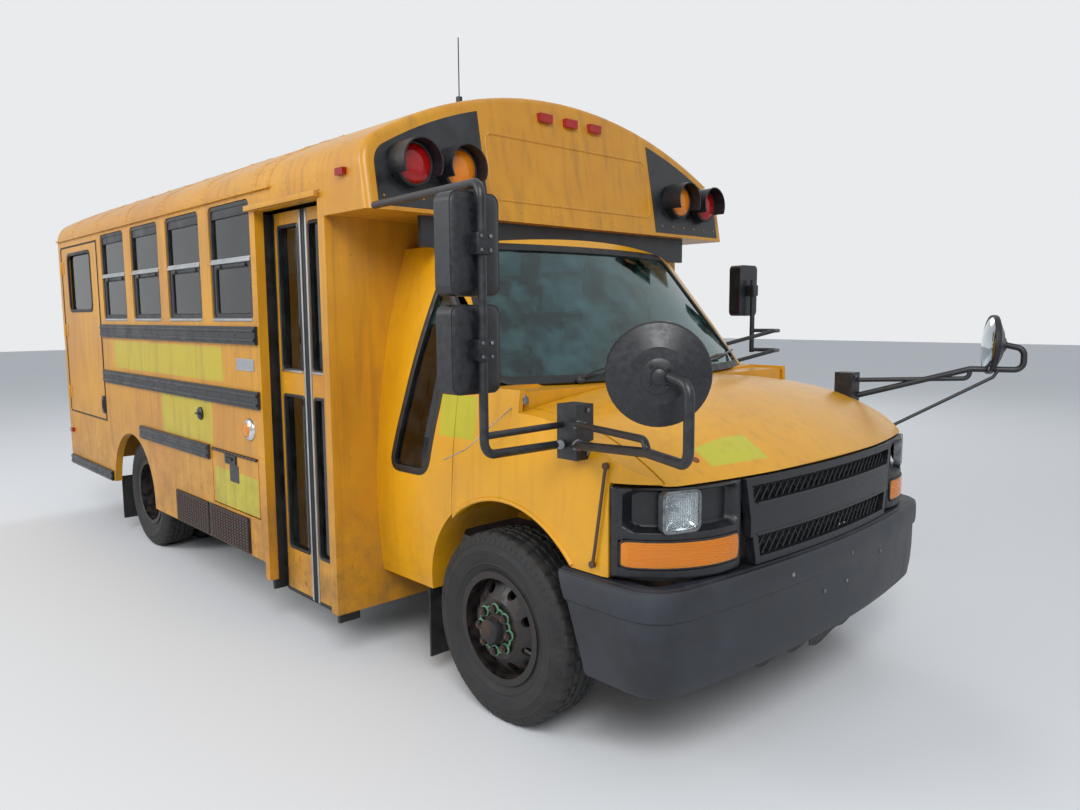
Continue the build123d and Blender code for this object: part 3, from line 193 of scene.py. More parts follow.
def bus_enamel(name, fresh, faded, gloss, wear, patches=()):
    """School bus enamel, sprayed: fresh and faded tones in clouds, washed streaks, road grime and rust.

    wear scales the streaks, grime and rust. patches are (middle, half size, colour) of touched-up areas.
    """
    finish, tree, shader, coords = new_finish(name)
    clouds = blotches(tree, coords, 1.6, 6.0, 0.62, 0.36, 0.68)[1]
    colour = node(tree, "Mix", {0: clouds, 6: linear(fresh), 7: linear(faded)}, data_type="RGBA")
    # rain streaks: noise drawn out 12 times along the wall's height, about 25 mm wide
    drawn = node(tree, "Mapping", {"Vector": coords, "Scale": (1.0, 1.0, 0.08)}).outputs[0]
    streaks = blotches(tree, drawn, 22.0, 5.0, 0.5, 0.50, 0.74, 0.40 * wear)[1]
    # road grime, thick at the skirt and gone by a metre up
    height = node(tree, "SeparateXYZ", {0: coords}).outputs[2]
    low = node(tree, "MapRange", {"Value": height, "From Min": 1.05, "From Max": 0.30, "To Max": wear}).outputs[0]
    patchy = blotches(tree, coords, 7.0, 8.0, 0.7, 0.36, 0.66)[1]
    thick = node(tree, "Math", {0: low, 1: patchy}, operation="MULTIPLY").outputs[0]
    grime = node(tree, "Math", {0: thick, 1: 0.62}, operation="MULTIPLY").outputs[0]
    # rust blooms where grime sits, and pin-head chips anywhere
    blooms = blotches(tree, coords, 16.0, 9.0, 0.75, 0.60, 0.70, wear)[1]
    low_rust = node(tree, "Math", {0: blooms, 1: low}, operation="MULTIPLY").outputs[0]
    chips = blotches(tree, coords, 95.0, 3.0, 0.5, 0.735, 0.76, wear)[1]
    rust = node(tree, "Math", {0: low_rust, 1: chips}, operation="MAXIMUM", use_clamp=True).outputs[0]
    # touched-up patches are brushed over the faded coat, and the weather lies over both
    touched_up = [(inside(tree, coords, middle, half, 0.10), hue) for middle, half, hue in patches]
    for mask, hue in (*touched_up, (streaks, "#7a5526"), (grime, "#5d4a32"), (rust, "#5a2c14")):
        colour = node(tree, "Mix", {0: mask, 6: colour.outputs[2], 7: linear(hue)}, data_type="RGBA")
    dull = node(tree, "Math", {0: rust, 1: grime}, operation="ADD", use_clamp=True).outputs[0]
    rough = node(tree, "MapRange", {"Value": dull, "To Min": gloss, "To Max": 0.75}).outputs[0]
    # sheet metal that isn't quite flat, about a hand's width to each hollow
    dents = node(tree, "TexNoise", {"Vector": coords, "Scale": 4.0, "Detail": 2.0}).outputs["Fac"]
    relief = node(tree, "Math", {0: rust, 1: -0.15, 2: dents}, operation="MULTIPLY_ADD").outputs[0]
    bump = node(tree, "Bump", {"Height": relief, "Strength": 0.35, "Distance": 0.010}).outputs[0]
    plug(tree, shader, {"Base Color": colour.outputs[2], "Roughness": rough, "Normal": bump})
    plug(tree, shader, {"Coat Weight": 0.06, "Coat Roughness": 0.12})
    return finish


def plain_finish(name, base, second, scale, rough, metal=0.0, bump=0.0, coat=0.0):
    """Two tones mixed by noise of that scale per metre, with roughness from and to, and a bump in millimetres."""
    finish, tree, shader, coords = new_finish(name)
    height, share = blotches(tree, coords, scale, 5.0, 0.6, 0.4, 0.65)
    colour = node(tree, "Mix", {0: share, 6: linear(base), 7: linear(second)}, data_type="RGBA").outputs[2]
    gloss = node(tree, "MapRange", {"Value": share, "To Min": rough[0], "To Max": rough[1]}).outputs[0]
    plug(tree, shader, {"Base Color": colour, "Roughness": gloss, "Metallic": metal, "Coat Weight": coat})
    if bump:
        relief = node(tree, "Bump", {"Height": height, "Strength": 0.6, "Distance": bump / 1000})
        plug(tree, shader, {"Normal": relief.outputs[0]})
    return finish


def clear_finish(name, tint, dirt, share, rough=0.02, clear=1.0, ior=1.52):
    """Glass or clear plastic with a film of dirt over a share of it; clear is how much light goes through."""
    finish, tree, shader, coords = new_finish(name)
    dusty = blotches(tree, coords, 6.0, 8.0, 0.7, 0.45, 0.75, share)[1]
    colour = node(tree, "Mix", {0: dusty, 6: linear(tint), 7: linear(dirt)}, data_type="RGBA").outputs[2]
    through = node(tree, "MapRange", {"Value": dusty, "To Min": clear, "To Max": 0.25 * clear}).outputs[0]
    dull = node(tree, "MapRange", {"Value": dusty, "To Min": rough, "To Max": 0.6}).outputs[0]
    plug(tree, shader, {"Base Color": colour, "Transmission Weight": through, "Roughness": dull, "IOR": ior})
    return finish


FINISHES = {
    # faded enamel of the bus body, its tone darker and duller than the cab's partly as painted shade; touched-up
    # patches between and under the rub rails
    "body_enamel": bus_enamel(
        "faded_body_enamel_painted_shade", "#cb9017", "#b97c1c", 0.38, 1.0,
        patches=(
            ((-0.84, -1.20, 1.315), (0.93, 0.05, 0.092), "#b9a51c"),
            ((-0.49, -1.20, 0.990), (0.39, 0.05, 0.120), "#b8a41a"),
            ((0.17, -1.19, 0.655), (0.27, 0.05, 0.100), "#b5a81e"),
        ),
    ),
    # newer enamel of the cab and its hood, still glossy, its tone brighter and richer than the body's partly as painted
    # sunlight
    "front_enamel": bus_enamel(
        "glossy_front_enamel_painted_sunlight", "#dd9f08", "#cf910e", 0.30, 0.45,
        patches=(
            ((1.76, -0.96, 1.165), (0.115, 0.08, 0.085), "#b7ad18"),
            ((2.79, -0.50, 1.090), (0.12, 0.14, 0.036), "#b9b422"),
        ),
    ),
    # side windows, tinted and filmed with road dust
    "tinted_glass": clear_finish("tinted_safety_glass", "#3c4a4c", "#6d6a5e", 0.30),
    # windscreen, tinted teal in the mass
    "windscreen_glass": clear_finish("laminated_windscreen", "#6fb0b4", "#7f9fa3", 0.26),
    # satin black enamel on rails and panels, chalked by weather
    "black_enamel": plain_finish("chalked_black_enamel", "#141518", "#2b2d31", 9.0, (0.30, 0.55), bump=0.3),
    # gloss red enamel of the stop arm
    "red_enamel": plain_finish("red_stop_enamel", "#a3121a", "#8c1a1c", 7.0, (0.28, 0.5), coat=0.2),
    # white enamel of the stop arm's border, a little chalked
    "white_enamel": plain_finish("white_enamel", "#d9dad6", "#c8c7c0", 9.0, (0.35, 0.5)),
    # moulded black plastic, fine grain and greyed edges
    "black_moulding": plain_finish("moulded_black_plastic", "#111216", "#1f2126", 60.0, (0.36, 0.5), bump=0.15),
    # bumper cover: grained thermoplastic olefin, sun-greyed
    "grey_bumper": plain_finish("grained_bumper_cover", "#1b1e24", "#2c3038", 5.0, (0.45, 0.62), bump=0.4),
    # amber and red acrylic lenses, cloudy with moulded prisms, and clear fluted glass on the headlamps
    "amber_lens": clear_finish("amber_acrylic", "#ff9d1c", "#b8731c", 0.10, rough=0.12, clear=0.45, ior=1.49),
    "red_lens": clear_finish("red_acrylic", "#d0161a", "#7a1614", 0.10, rough=0.12, clear=0.6, ior=1.49),
    "clear_lens": clear_finish("fluted_lamp_glass", "#eef3f4", "#a8aca6", 0.12, rough=0.06),
    # frame iron, black once and now mud and rust
    "chassis_iron": plain_finish("muddy_chassis_iron", "#17161a", "#4a3424", 11.0, (0.6, 0.85), bump=1.2, metal=0.1),
    # rough castings under a film of oil
    "cast_engine": plain_finish("oily_cast_iron", "#2e2c2a", "#4a4038", 14.0, (0.5, 0.8), bump=1.0, metal=0.3),
    # tyre rubber, dusted grey where it flexes
    "tyre_rubber": plain_finish("weathered_tyre_rubber", "#101114", "#2a2826", 13.0, (0.62, 0.85), bump=0.5),
    # sheet rubber of flaps and mounts, dull all over
    "black_rubber": plain_finish("aged_black_rubber", "#101013", "#242424", 20.0, (0.55, 0.8), bump=0.3),
    # extruded glazing rubber, black and a little shiny
    "window_rubber": plain_finish("extruded_glazing_rubber", "#0b0c0e", "#18191b", 16.0, (0.4, 0.65), bump=0.2),
    # pressed steel wheel in chipped black enamel
    "wheel_enamel": plain_finish("chipped_wheel_enamel", "#0f1013", "#2c211b", 26.0, (0.35, 0.7), bump=0.5),
    # bent tube under an even, faintly pebbled black powder coat
    "arm_enamel": plain_finish("powder_coated_arm", "#121316", "#26282c", 40.0, (0.38, 0.5), bump=0.2),
    # hard grey trim inside
    "grey_trim": plain_finish("moulded_grey_trim", "#4b4d50", "#5d5f60", 50.0, (0.5, 0.65), bump=0.3),
    # floor and steps in ribbed black rubber
    "floor_rubber": plain_finish("ribbed_floor_rubber", "#191919", "#35322c", 8.0, (0.55, 0.8), bump=0.5),
    # coated seat cover
    "seat_vinyl": plain_finish("blue_seat_vinyl", "#1d2c44", "#263a58", 240.0, (0.38, 0.52), bump=0.25),
    # bright extrusions: milky anodised aluminium with road film
    "bright_aluminium": plain_finish("anodised_aluminium", "#c4c7c9", "#aeb0b0", 7.0, (0.3, 0.45), 1.0, 0.1),
    # zinc-plated tube, dulled
    "zinc_steel": plain_finish("dull_zinc_plate", "#8b8d90", "#55565a", 22.0, (0.32, 0.55), 0.9, 0.2),
    # mirror bright: plated shells, silvered mirrors and sprayed lamp bowls
    "chrome": plain_finish("chrome_plate", "#dfe2e4", "#b4b6b8", 12.0, (0.08, 0.25), 1.0),
    "mirror_glass": plain_finish("mirror_glass", "#c8d0d4", "#aab2b6", 5.0, (0.03, 0.12), 1.0),
    "lamp_reflector": plain_finish("aluminised_reflector", "#d8dadc", "#b9bcbe", 8.0, (0.15, 0.3), 1.0),
    # moulded plastics gone pale in the sun
    "green_plastic": plain_finish("weathered_green_plastic", "#5f8f6c", "#3f6350", 30.0, (0.45, 0.65), bump=0.2),
    "brown_cap": plain_finish("faded_brown_plastic", "#8a4a16", "#6b3812", 30.0, (0.45, 0.6), bump=0.2),
    # plated steel with its zinc gone, matt and brown
    "rusty_steel": plain_finish("rusted_plated_steel", "#4c4038", "#6b4a30", 60.0, (0.5, 0.8), 0.5, 0.3),
    # louvre panels, black enamel that rust shows through
    "rusty_louvre": plain_finish("rusting_louvre_enamel", "#2a211d", "#4a3024", 30.0, (0.5, 0.75), bump=0.3),
}
CAD_FINISHES = {
    "body_paint": "body_enamel", "front_paint": "front_enamel", "tinted_glass": "tinted_glass",
    "black_paint": "black_enamel", "red_paint": "red_enamel", "black_moulding": "black_moulding",
    "amber_lens": "amber_lens", "red_lens": "red_lens", "lamp_glass": "clear_lens", "grey_bumper": "grey_bumper",
    "chassis_iron": "chassis_iron", "engine_iron": "cast_engine", "black_rubber": "black_rubber",
    "arm_steel": "arm_enamel", "grey_trim": "grey_trim", "seat_vinyl": "seat_vinyl", "floor_rubber": "floor_rubber",
    "tyre": "tyre_rubber", "rim_paint": "wheel_enamel",
}
# the record's slot for each finish, also for those that only the added pieces have
SLOTS = {finish: slot for slot, finish in CAD_FINISHES.items()}
SLOTS.update(
    {
        "windscreen_glass": "tinted_glass", "bright_aluminium": "arm_steel", "zinc_steel": "arm_steel",
        "chrome": "arm_steel", "mirror_glass": "lamp_glass", "lamp_reflector": "lamp_glass",
        "window_rubber": "black_rubber", "green_plastic": "amber_lens", "brown_cap": "black_moulding",
        "white_enamel": "body_paint", "rusty_steel": "arm_steel", "rusty_louvre": "black_paint",
    }
)


def dress(obj, finish):
    """Give an object one finish."""
    obj.data.materials.clear()
    obj.data.materials.append(FINISHES[finish])


for part in frame["record"]["subparts"]:
    dress(frame["nodes"][part["node"]], CAD_FINISHES[part["material_slot"]])
# the windscreen's pane is tinted differently from the other fixed glass
panes = frame["nodes"]["fixed_glass"].data
panes.materials.append(FINISHES["windscreen_glass"])
for face in panes.polygons:
    if face.center.x > 1.52 and abs(face.center.y) < 0.87 and face.center.z > 1.2:
        face.material_index = 1
# moulded and sheet nodes get the small round edges that catch the light
for name, width in (("mirror_heads", 9), ("door_mirror_heads", 9), ("mirror_arms", 2), ("hood", 2.5), ("fenders", 2),
                    ("grille", 2.5), ("rub_rails", 3), ("rear_bumper", 6), ("stop_arm", 1.5), ("dash", 12)):
    edge = frame["nodes"][name].modifiers.new("round_edges", "BEVEL")
    edge.width, edge.segments, edge.limit_method, edge.angle_limit = width / 1000, 3, "ANGLE", math.radians(45)


# ------------------------------------------------------------------ shaping of the added pieces
def rounded(width, height, radius, middle=(0.0, 0.0), steps=5):
    """Outline of a rectangle with round corners, anticlockwise, with the same count of points for any size."""
    outline = []
    for corner, (across, up) in enumerate(((1, 1), (-1, 1), (-1, -1), (1, -1))):
        for step in range(steps + 1):
            turn = math.radians(90 * (corner + step / steps))
            outline.append(
                (
                    middle[0] + across * (width / 2 - radius) + radius * math.cos(turn),
                    middle[1] + up * (height / 2 - radius) + radius * math.sin(turn),
                )
            )
    return outline


def rounded_corners(corners, reach):
    """Outline whose corners are curves that start a reach before them."""
    outline = []
    for i, corner in enumerate(corners):
        before, after, corner = Vector(corners[i - 1]), Vector(corners[(i + 1) % len(corners)]), Vector(corner)
        back, on = (before - corner).normalized() * reach, (after - corner).normalized() * reach
        outline += [tuple(corner + back * (1 - k / 5) ** 2 + on * (k / 5) ** 2) for k in range(6)]
    return outline


def grown(outline, amount):
    """The outline moved outward from its middle by an amount."""
    middle = Vector((sum(p[0] for p in outline), sum(p[1] for p in outline))) / len(outline)
    moved = []
    for i, point in enumerate(outline):
        along = Vector(outline[(i + 1) % len(outline)]) - Vector(outline[i - 1])
        away = Vector((along.y, -along.x)).normalized()
        if away.dot(Vector(point) - middle) < 0:
            away = -away
        moved.append(tuple(Vector(point) + away * amount))
    return moved


def divided(outline, pitch):
    """The outline with its long runs cut into lengths of about a pitch, to follow a bowed surface."""
    points = []
    for i, point in enumerate(outline):
        point, after = Vector(point), Vector(outline[(i + 1) % len(outline)])
        parts = max(1, int((after - point).length / pitch))
        points += [tuple(point + (after - point) * k / parts) for k in range(parts)]
    return points


def spread(first, last, pitch):
    """Evenly spaced stations from first to last, about a pitch apart."""
    count = max(1, round(abs(last - first) / pitch))
    return [first + (last - first) * i / count for i in range(count + 1)]


def border_of(sheet):
    """The corners round the edge of a sheet of rows."""
    return sheet[0] + [row[-1] for row in sheet[1:-1]] + sheet[-1][::-1] + [row[0] for row in sheet[-2:0:-1]]


class Piece:
    """A dressed piece: forms are added to it in millimetres, and close() makes it ride on its body."""

    drawn = []

    def __init__(self, name, body, finish, replaces=None, smooth=38.0):
        self.name, self.body, self.finish = name, body, finish
        self.replaces, self.smooth = replaces, smooth
        self.form = bmesh.new()
        Piece.drawn.append(self)

    def row(self, points):
        return [self.form.verts.new(point) for point in points]

    def stitch(self, near, far, closed=True):
        """Faces between two rows of corners; a row of one corner makes a fan."""
        count = max(len(near), len(far))
        for i in range(count if closed else count - 1):
            j = (i + 1) % count
            if len(near) == 1:
                corners = (near[0], far[i], far[j])
            elif len(far) == 1:
                corners = (near[i], near[j], far[0])
            else:
                corners = (near[i], near[j], far[j], far[i])
            self.form.faces.new(corners)

    def loft(self, rows, closed=True, capped=False, looped=False):
        """Faces from each row to the next; capped closes both ends, and looped joins the last row to the first."""
        for near, far in zip(rows, rows[1:] + (rows[:1] if looped else [])):
            self.stitch(near, far, closed)
        if capped:
            for end in (rows[0], rows[-1]):
                if len(end) > 1:
                    self.form.faces.new(end)

    def block(self, low, high, chamfer=2.0):
        """Block between two corners, its edges chamfered."""
        low, high = Vector(low), Vector(high)
        place = Matrix.Translation((low + high) / 2) @ Matrix.Diagonal((*(high - low), 1.0))
        made = bmesh.ops.create_cube(self.form, size=1.0, matrix=place)
        edges = {edge for vert in made["verts"] for edge in vert.link_edges}
        bmesh.ops.bevel(self.form, geom=list(edges), offset=chamfer, segments=2, profile=0.7, affect="EDGES")

    def turned(self, origin, axis, profile, sides=24):
        """Form turned about an axis from pairs of radius and distance along it, its ends closed."""
        origin, axis = Vector(origin), Vector(axis).normalized()
        across = axis.orthogonal().normalized()
        other = axis.cross(across)
        rows = []
        for radius, along in profile:
            centre = origin + axis * along
            if radius < 0.01:
                rows.append(self.row([centre]))
                continue
            turns = [math.tau * i / sides for i in range(sides)]
            rows.append(self.row([centre + radius * (math.cos(t) * across + math.sin(t) * other) for t in turns]))
        self.loft(rows, capped=True)

    def tube(self, points, radius, sides=10, closed=False, flat=1.0):
        """Round bar along points; flat under 1 thins it towards the first bend's normal."""
        points = [Vector(p) for p in points]
        count = len(points)
        upright = None
        rows = []
        for i, point in enumerate(points):
            if closed:
                along = (points[(i + 1) % count] - points[i - 1]).normalized()
            else:
                along = (points[min(i + 1, count - 1)] - points[max(i - 1, 0)]).normalized()
            if upright is None:
                upright = along.orthogonal().normalized()
            upright = (upright - along * upright.dot(along)).normalized()
            across = along.cross(upright)
            turns = [math.tau * k / sides for k in range(sides)]
            rows.append(
                self.row([point + radius * (math.cos(t) * across + flat * math.sin(t) * upright) for t in turns])
            )
        self.loft(rows, capped=not closed)
        if closed:
            # the last row meets the first one where the two lie closest
            shift = min(range(sides), key=lambda k: (rows[-1][0].co - rows[0][k].co).length)
            self.stitch(rows[-1], rows[0][shift:] + rows[0][:shift])

    def plate(self, outline, place, depth, chamfer=0.0):
        """Sheet with a drawn outline, from place(u, v, 0) to place(u, v, depth), its face edge chamfered."""
        rows = [self.row([place(u, v, 0.0) for u, v in outline])]
        face = outline
        if chamfer:
            middle = Vector((sum(p[0] for p in outline), sum(p[1] for p in outline))) / len(outline)
            reach = max((Vector(p) - middle).length for p in outline)
            face = [Vector(p) + (middle - Vector(p)) * chamfer / reach for p in outline]
            rows.append(self.row([place(u, v, depth - chamfer) for u, v in outline]))
        rows.append(self.row([place(u, v, depth) for u, v in face]))
        self.loft(rows, capped=True)

    def surround(self, outer, inner, place, low, high, round_over=0.0):
        """Frame between two outlines, from low to high off the surface; round_over lifts its middle."""
        middle = [((a[0] + b[0]) / 2, (a[1] + b[1]) / 2) for a, b in zip(outer, inner)]
        side = high - round_over
        rows = [
            self.row([place(u, v, out) for u, v in outline])
            for outline, out in ((outer, low), (outer, side), (middle, high), (inner, side), (inner, low))
        ]
        self.loft(rows, looped=True)

    def rim(self, outer, inner, place, low, high, round_over=0.0, middle=(0.0, 0.0)):
        """Surround between two round-cornered rectangles, each a width, a height and a corner radius."""
        self.surround(rounded(*outer, middle), rounded(*inner, middle), place, low, high, round_over)

    def domes(self, points, out, radius=5.0, sides=6):
        """Rivet heads on a surface, each a low dome along the outward direction."""
        out = Vector(out).normalized()
        profile = ((radius, 0), (radius * 0.82, 1.0 + radius * 0.32), (0, 1.0 + radius * 0.5))
        for point in points:
            self.turned(Vector(point) - out, out, profile, sides)

    def rivet_line(self, place, out, first, last, pitch, radius=5.0):
        """Rivets from one point of a drawing to another, about a pitch apart."""
        count = max(1, round(math.dist(first, last) / pitch))
        steps = [i / count for i in range(count + 1)]
        self.domes([place(*(a + (b - a) * step for a, b in zip(first, last)), 0) for step in steps], out, radius)

    def close(self):
        """Make the object, give it its finish, and put it on its body."""
        bmesh.ops.recalc_face_normals(self.form, faces=self.form.faces)
        bmesh.ops.scale(self.form, vec=(0.001, 0.001, 0.001), verts=self.form.verts)
        mesh = bpy.data.meshes.new(self.name)
        self.form.to_mesh(mesh)
        self.form.free()
        mesh.shade_smooth()
        mesh.set_sharp_from_angle(angle=math.radians(self.smooth))
        obj = bpy.data.objects.new(self.name, mesh)
        scene.collection.objects.link(obj)
        dress(obj, self.finish)
        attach(obj, self.body)
        if self.replaces:
            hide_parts(self.replaces)


# ------------------------------------------------------------------ drawings on the bus's surfaces
def on_side(side, y=BODY_HALF):
    """Drawing on a side wall: u is the station, v the height, and out the distance off the wall."""
    return lambda u, v, out: (u, side * (y + out), v)


def on_rear(u, v, out):
    """Drawing on the rear wall: u is to the left and v the height."""
    return (BODY_REAR - out, u, v)


CAP_FRONT, CAP_BOTTOM, CAP_LEAN = front(-480), 1979.0, math.radians(9.8)


def on_cap(u, v, out):
    """Drawing on the cap's leaning face: u is to the left and v the height."""
    x = CAP_FRONT - (v - CAP_BOTTOM) * math.tan(CAP_LEAN)
    return (x + out * math.cos(CAP_LEAN), u, v + out * math.sin(CAP_LEAN))


def arc_through(first, second, third):
    """Centre and radius of the circle through three points of a drawing."""
    (ax, ay), (bx, by), (cx, cy) = first, second, third
    d = 2 * (ax * (by - cy) + bx * (cy - ay) + cx * (ay - by))
    a, b, c = ax * ax + ay * ay, bx * bx + by * by, cx * cx + cy * cy
    middle = ((a * (by - cy) + b * (cy - ay) + c * (ay - by)) / d, (a * (cx - bx) + b * (ax - cx) + c * (bx - ax)) / d)
    return middle, math.dist(middle, first)


CAB_BELT = 1192
LOWER_SIDE = arc_through((949, 415), (975, 760), (942, CAB_BELT))
UPPER_SIDE = arc_through((942, CAB_BELT), (882, 1540), (790, 1860))


def on_cab(side):
    """Drawing on a cab's bowed side: u is ahead of the front axle, v the height."""
    def place(u, v, out):
        (y, z), radius = LOWER_SIDE if v < CAB_BELT else UPPER_SIDE
        return (front(u), side * (y + math.sqrt(radius ** 2 - (v - z) ** 2) + out), v)

    return place


# the windscreen's foot, how far it goes back for its height, its bow's radius and the way out of it
SCREEN_FOOT, SCREEN_RAKE, SCREEN_BOW, SCREEN_OUT = (front(70), 1290), 0.829, 1900, (0.77, 0, 0.64)


def on_screen(u, v, out):
    """Drawing on the windscreen's bowed face: u is to the left, v the height."""
    foremost = SCREEN_FOOT[0] + (SCREEN_FOOT[1] - v) * SCREEN_RAKE
    x = foremost - SCREEN_BOW + math.sqrt(SCREEN_BOW ** 2 - u * u)
    return (x + out * SCREEN_OUT[0], u, v + out * SCREEN_OUT[2])


NOSE_FACE_HALF = 577
NOSE_FACE = arc_through((front(805), NOSE_FACE_HALF), (front(840), 0), (front(805), -NOSE_FACE_HALF))
NOSE_CORNER = arc_through((front(430), 985), (front(700), 885), (front(805), NOSE_FACE_HALF))


def on_nose(side=1):
    """Drawing on the upright part of the nose: u is to that side, v the height."""
    def place(u, v, out):
        u = side * u
        way = 1 if u >= 0 else -1
        (cx, cy), radius = NOSE_FACE if abs(u) <= NOSE_FACE_HALF else NOSE_CORNER
        reach = math.sqrt(max(0.0, radius ** 2 - (abs(u) - cy) ** 2))
        away = Vector((reach, way * (abs(u) - cy))) / radius
        return (cx + reach + out * away.x, u + out * away.y, v)

    return place


# the roof's shoulder and crown as circles: middle, radius, and where the one runs into the other
SHOULDER, SHOULDER_RADIUS, SHOULDER_END = (1040, 2154.4), 150, math.radians(60.3)
CROWN_HEIGHT, CROWN_RADIUS, CROWN_HALF = 330, 2250, 1114.3


def crown_edge(inset=0.0, steps=16):
    """Right half of the body's crowned outline, from the shoulder's foot to the middle, as (half width, height)."""
    shoulder, crown = SHOULDER_RADIUS - inset, CROWN_RADIUS - inset
    turns = [SHOULDER_END * step / 6 for step in range(7)]
    edge = [(SHOULDER[0] + shoulder * math.cos(turn), SHOULDER[1] + shoulder * math.sin(turn)) for turn in turns]
    start = math.asin(CROWN_HALF / CROWN_RADIUS)
    turns = [start * (1 - step / steps) for step in range(1, steps + 1)]
    return edge + [(crown * math.sin(turn), CROWN_HEIGHT + crown * math.cos(turn)) for turn in turns]


SURFACES = {}


def touch(node_name, start, along):
    """Where a line first meets a CAD node, and the way out of it there, in millimetres."""
    if node_name not in SURFACES:
        shape = frame["nodes"][node_name].data
        SURFACES[node_name] = BVHTree.FromPolygons([v.co for v in shape.vertices], [p.vertices for p in shape.polygons])
    point, out, _, _ = SURFACES[node_name].ray_cast(Vector(start) / 1000, Vector(along).normalized())
    if point is None:
        raise ValueError(f"no {node_name} on the line from {tuple(start)}")
    return point * 1000, out


def ahead(node_name, y, z):
    """Foremost point of a CAD node at a place on the front."""
    return touch(node_name, (3600, y, z), (-1, 0, 0))


RIGHT, LEFT = on_side(-1), on_side(1)
OUT_RIGHT, OUT_LEFT, OUT_REAR = (0, -1, 0), (0, 1, 0), (-1, 0, 0)

# ------------------------------------------------------------------ side windows
WINDOW_FIRST, WINDOW_PITCH, WINDOW_WIDTH = front(-1544), 635.0, 500.0
WINDOW_LOW, WINDOW_HIGH, SASH_BAR = 1540.0, 2128.0, 1838.0
# side, its name, its windows, drawing, way out, and rivets as first and last place, pitch and head
WALLS = (
    (-1, "right", 4, RIGHT, OUT_RIGHT, (
        # under the rub rails
        ((-1990, 1418), (500, 1418), 76, 4.5), ((-1990, 1101), (500, 1101), 76, 4.5),
        ((-1270, 777), (-163, 777), 76, 4.5),
        # up the posts of the lift door and the entrance
        ((508, 560), (508, 2090), 62, 5), ((486, 870), (486, 1420), 140, 5), ((-2012, 860), (-2012, 2110), 62, 5),
        ((1148, 300), (1148, 2090), 178, 6),
        # along the eaves, the lift's sill and the skirt
        ((-3020, 2139), (700, 2139), 93, 5), ((740, 2128), (1150, 2128), 70, 5),
        ((-3010, 820), (-1990, 820), 60, 4.5), ((-1060, 392), (480, 392), 110, 5),
    )),
    (1, "left", 5, LEFT, OUT_LEFT, (
        ((-3010, 1418), (580, 1418), 76, 4.5), ((-3010, 1101), (1140, 1101), 76, 4.5),
        ((-1070, 777), (1140, 777), 76, 4.5), ((-3020, 2139), (700, 2139), 93, 5),
        *(((x, 890), (x, 1400), 62, 5) for x in (500, -135, -1405, -2040, 1140)),
    )),
)
gutters = Piece("drip_rails", "bus", "body_enamel")
for side, word, count, wall, out, rivet_lines in WALLS:
    frames = Piece(f"window_frames_{word}", "bus", "black_enamel")
    bars = Piece(f"window_sash_bars_{word}", "bus", "bright_aluminium")
    seals = Piece(f"window_seals_{word}", "bus", "window_rubber")
    rivets = Piece(f"wall_rivets_{word}", "bus", "body_enamel")
    tall, sash_tall = WINDOW_HIGH - WINDOW_LOW, SASH_BAR - WINDOW_LOW
    lining = (WINDOW_WIDTH - 44, tall - 44, 16)
    sash, light = (WINDOW_WIDTH - 44, sash_tall - 22, 14), (WINDOW_WIDTH - 92, sash_tall - 62, 10)
    for index in range(count):
        edge = WINDOW_FIRST - index * WINDOW_PITCH
        x = edge - WINDOW_WIDTH / 2
        frames.rim((WINDOW_WIDTH - 1, tall - 1, 35), lining, wall, -30, -5, 2, (x, WINDOW_LOW + tall / 2))
        # the lower sash stands in front of the upper one in its own black frame
        lower = (x, WINDOW_LOW + sash_tall / 2 + 6)
        frames.rim(sash, light, wall, -19, -9, 2, lower)
        seals.rim(light, (light[0] - 12, light[1] - 12, 8), wall, -19, -12, 2, lower)
        frames.block(wall(x - 225, 2062, -18), wall(x + 225, 2106, -10))
        for half, low, high, inner, outer in (
            (240, SASH_BAR - 6, SASH_BAR + 9, -16, 3), (240, SASH_BAR + 9, SASH_BAR + 20, -16, -1),
            (243, WINDOW_LOW + 1, WINDOW_LOW + 15, -22, 5),
        ):
            bars.block(wall(x - half, low, inner), wall(x + half, high, outer), 3)
        # two pinch latches on the lower sash's top rail
        for latch in (x - 150, x + 150):
            frames.block(wall(latch - 22, SASH_BAR - 26, -12), wall(latch + 22, SASH_BAR - 10, -3), 3)
        # the posts beside the window
        for station in (edge + 18, edge + 117)[:index + 1]:
            rivets.rivet_line(wall, out, (station, 1556), (station, 2108), 92)
    for first, last, pitch, radius in rivet_lines:
        rivets.rivet_line(wall, out, first, last, pitch, radius)
    gutters.block(wall(BODY_REAR + 6, 2148, -2), wall(714, 2153, 15), 1)
    gutters.block(wall(BODY_REAR + 6, 2153, 12), wall(714, 2161, 15), 1)
# gutter over the entrance
gutters.block(RIGHT(470, 2062, -2), RIGHT(1164, 2067, 26), 1)
gutters.block(RIGHT(470, 2067, 22), RIGHT(1164, 2086, 26), 1)
gutters.block(RIGHT(470, 2086, -2), RIGHT(1164, 2092, 3), 1)
rivets = Piece("gutter_rivets", "bus", "body_enamel")
rivets.rivet_line(on_side(-1, BODY_HALF + 3), OUT_RIGHT, (486, 2078), (1150, 2078), 55, 4)

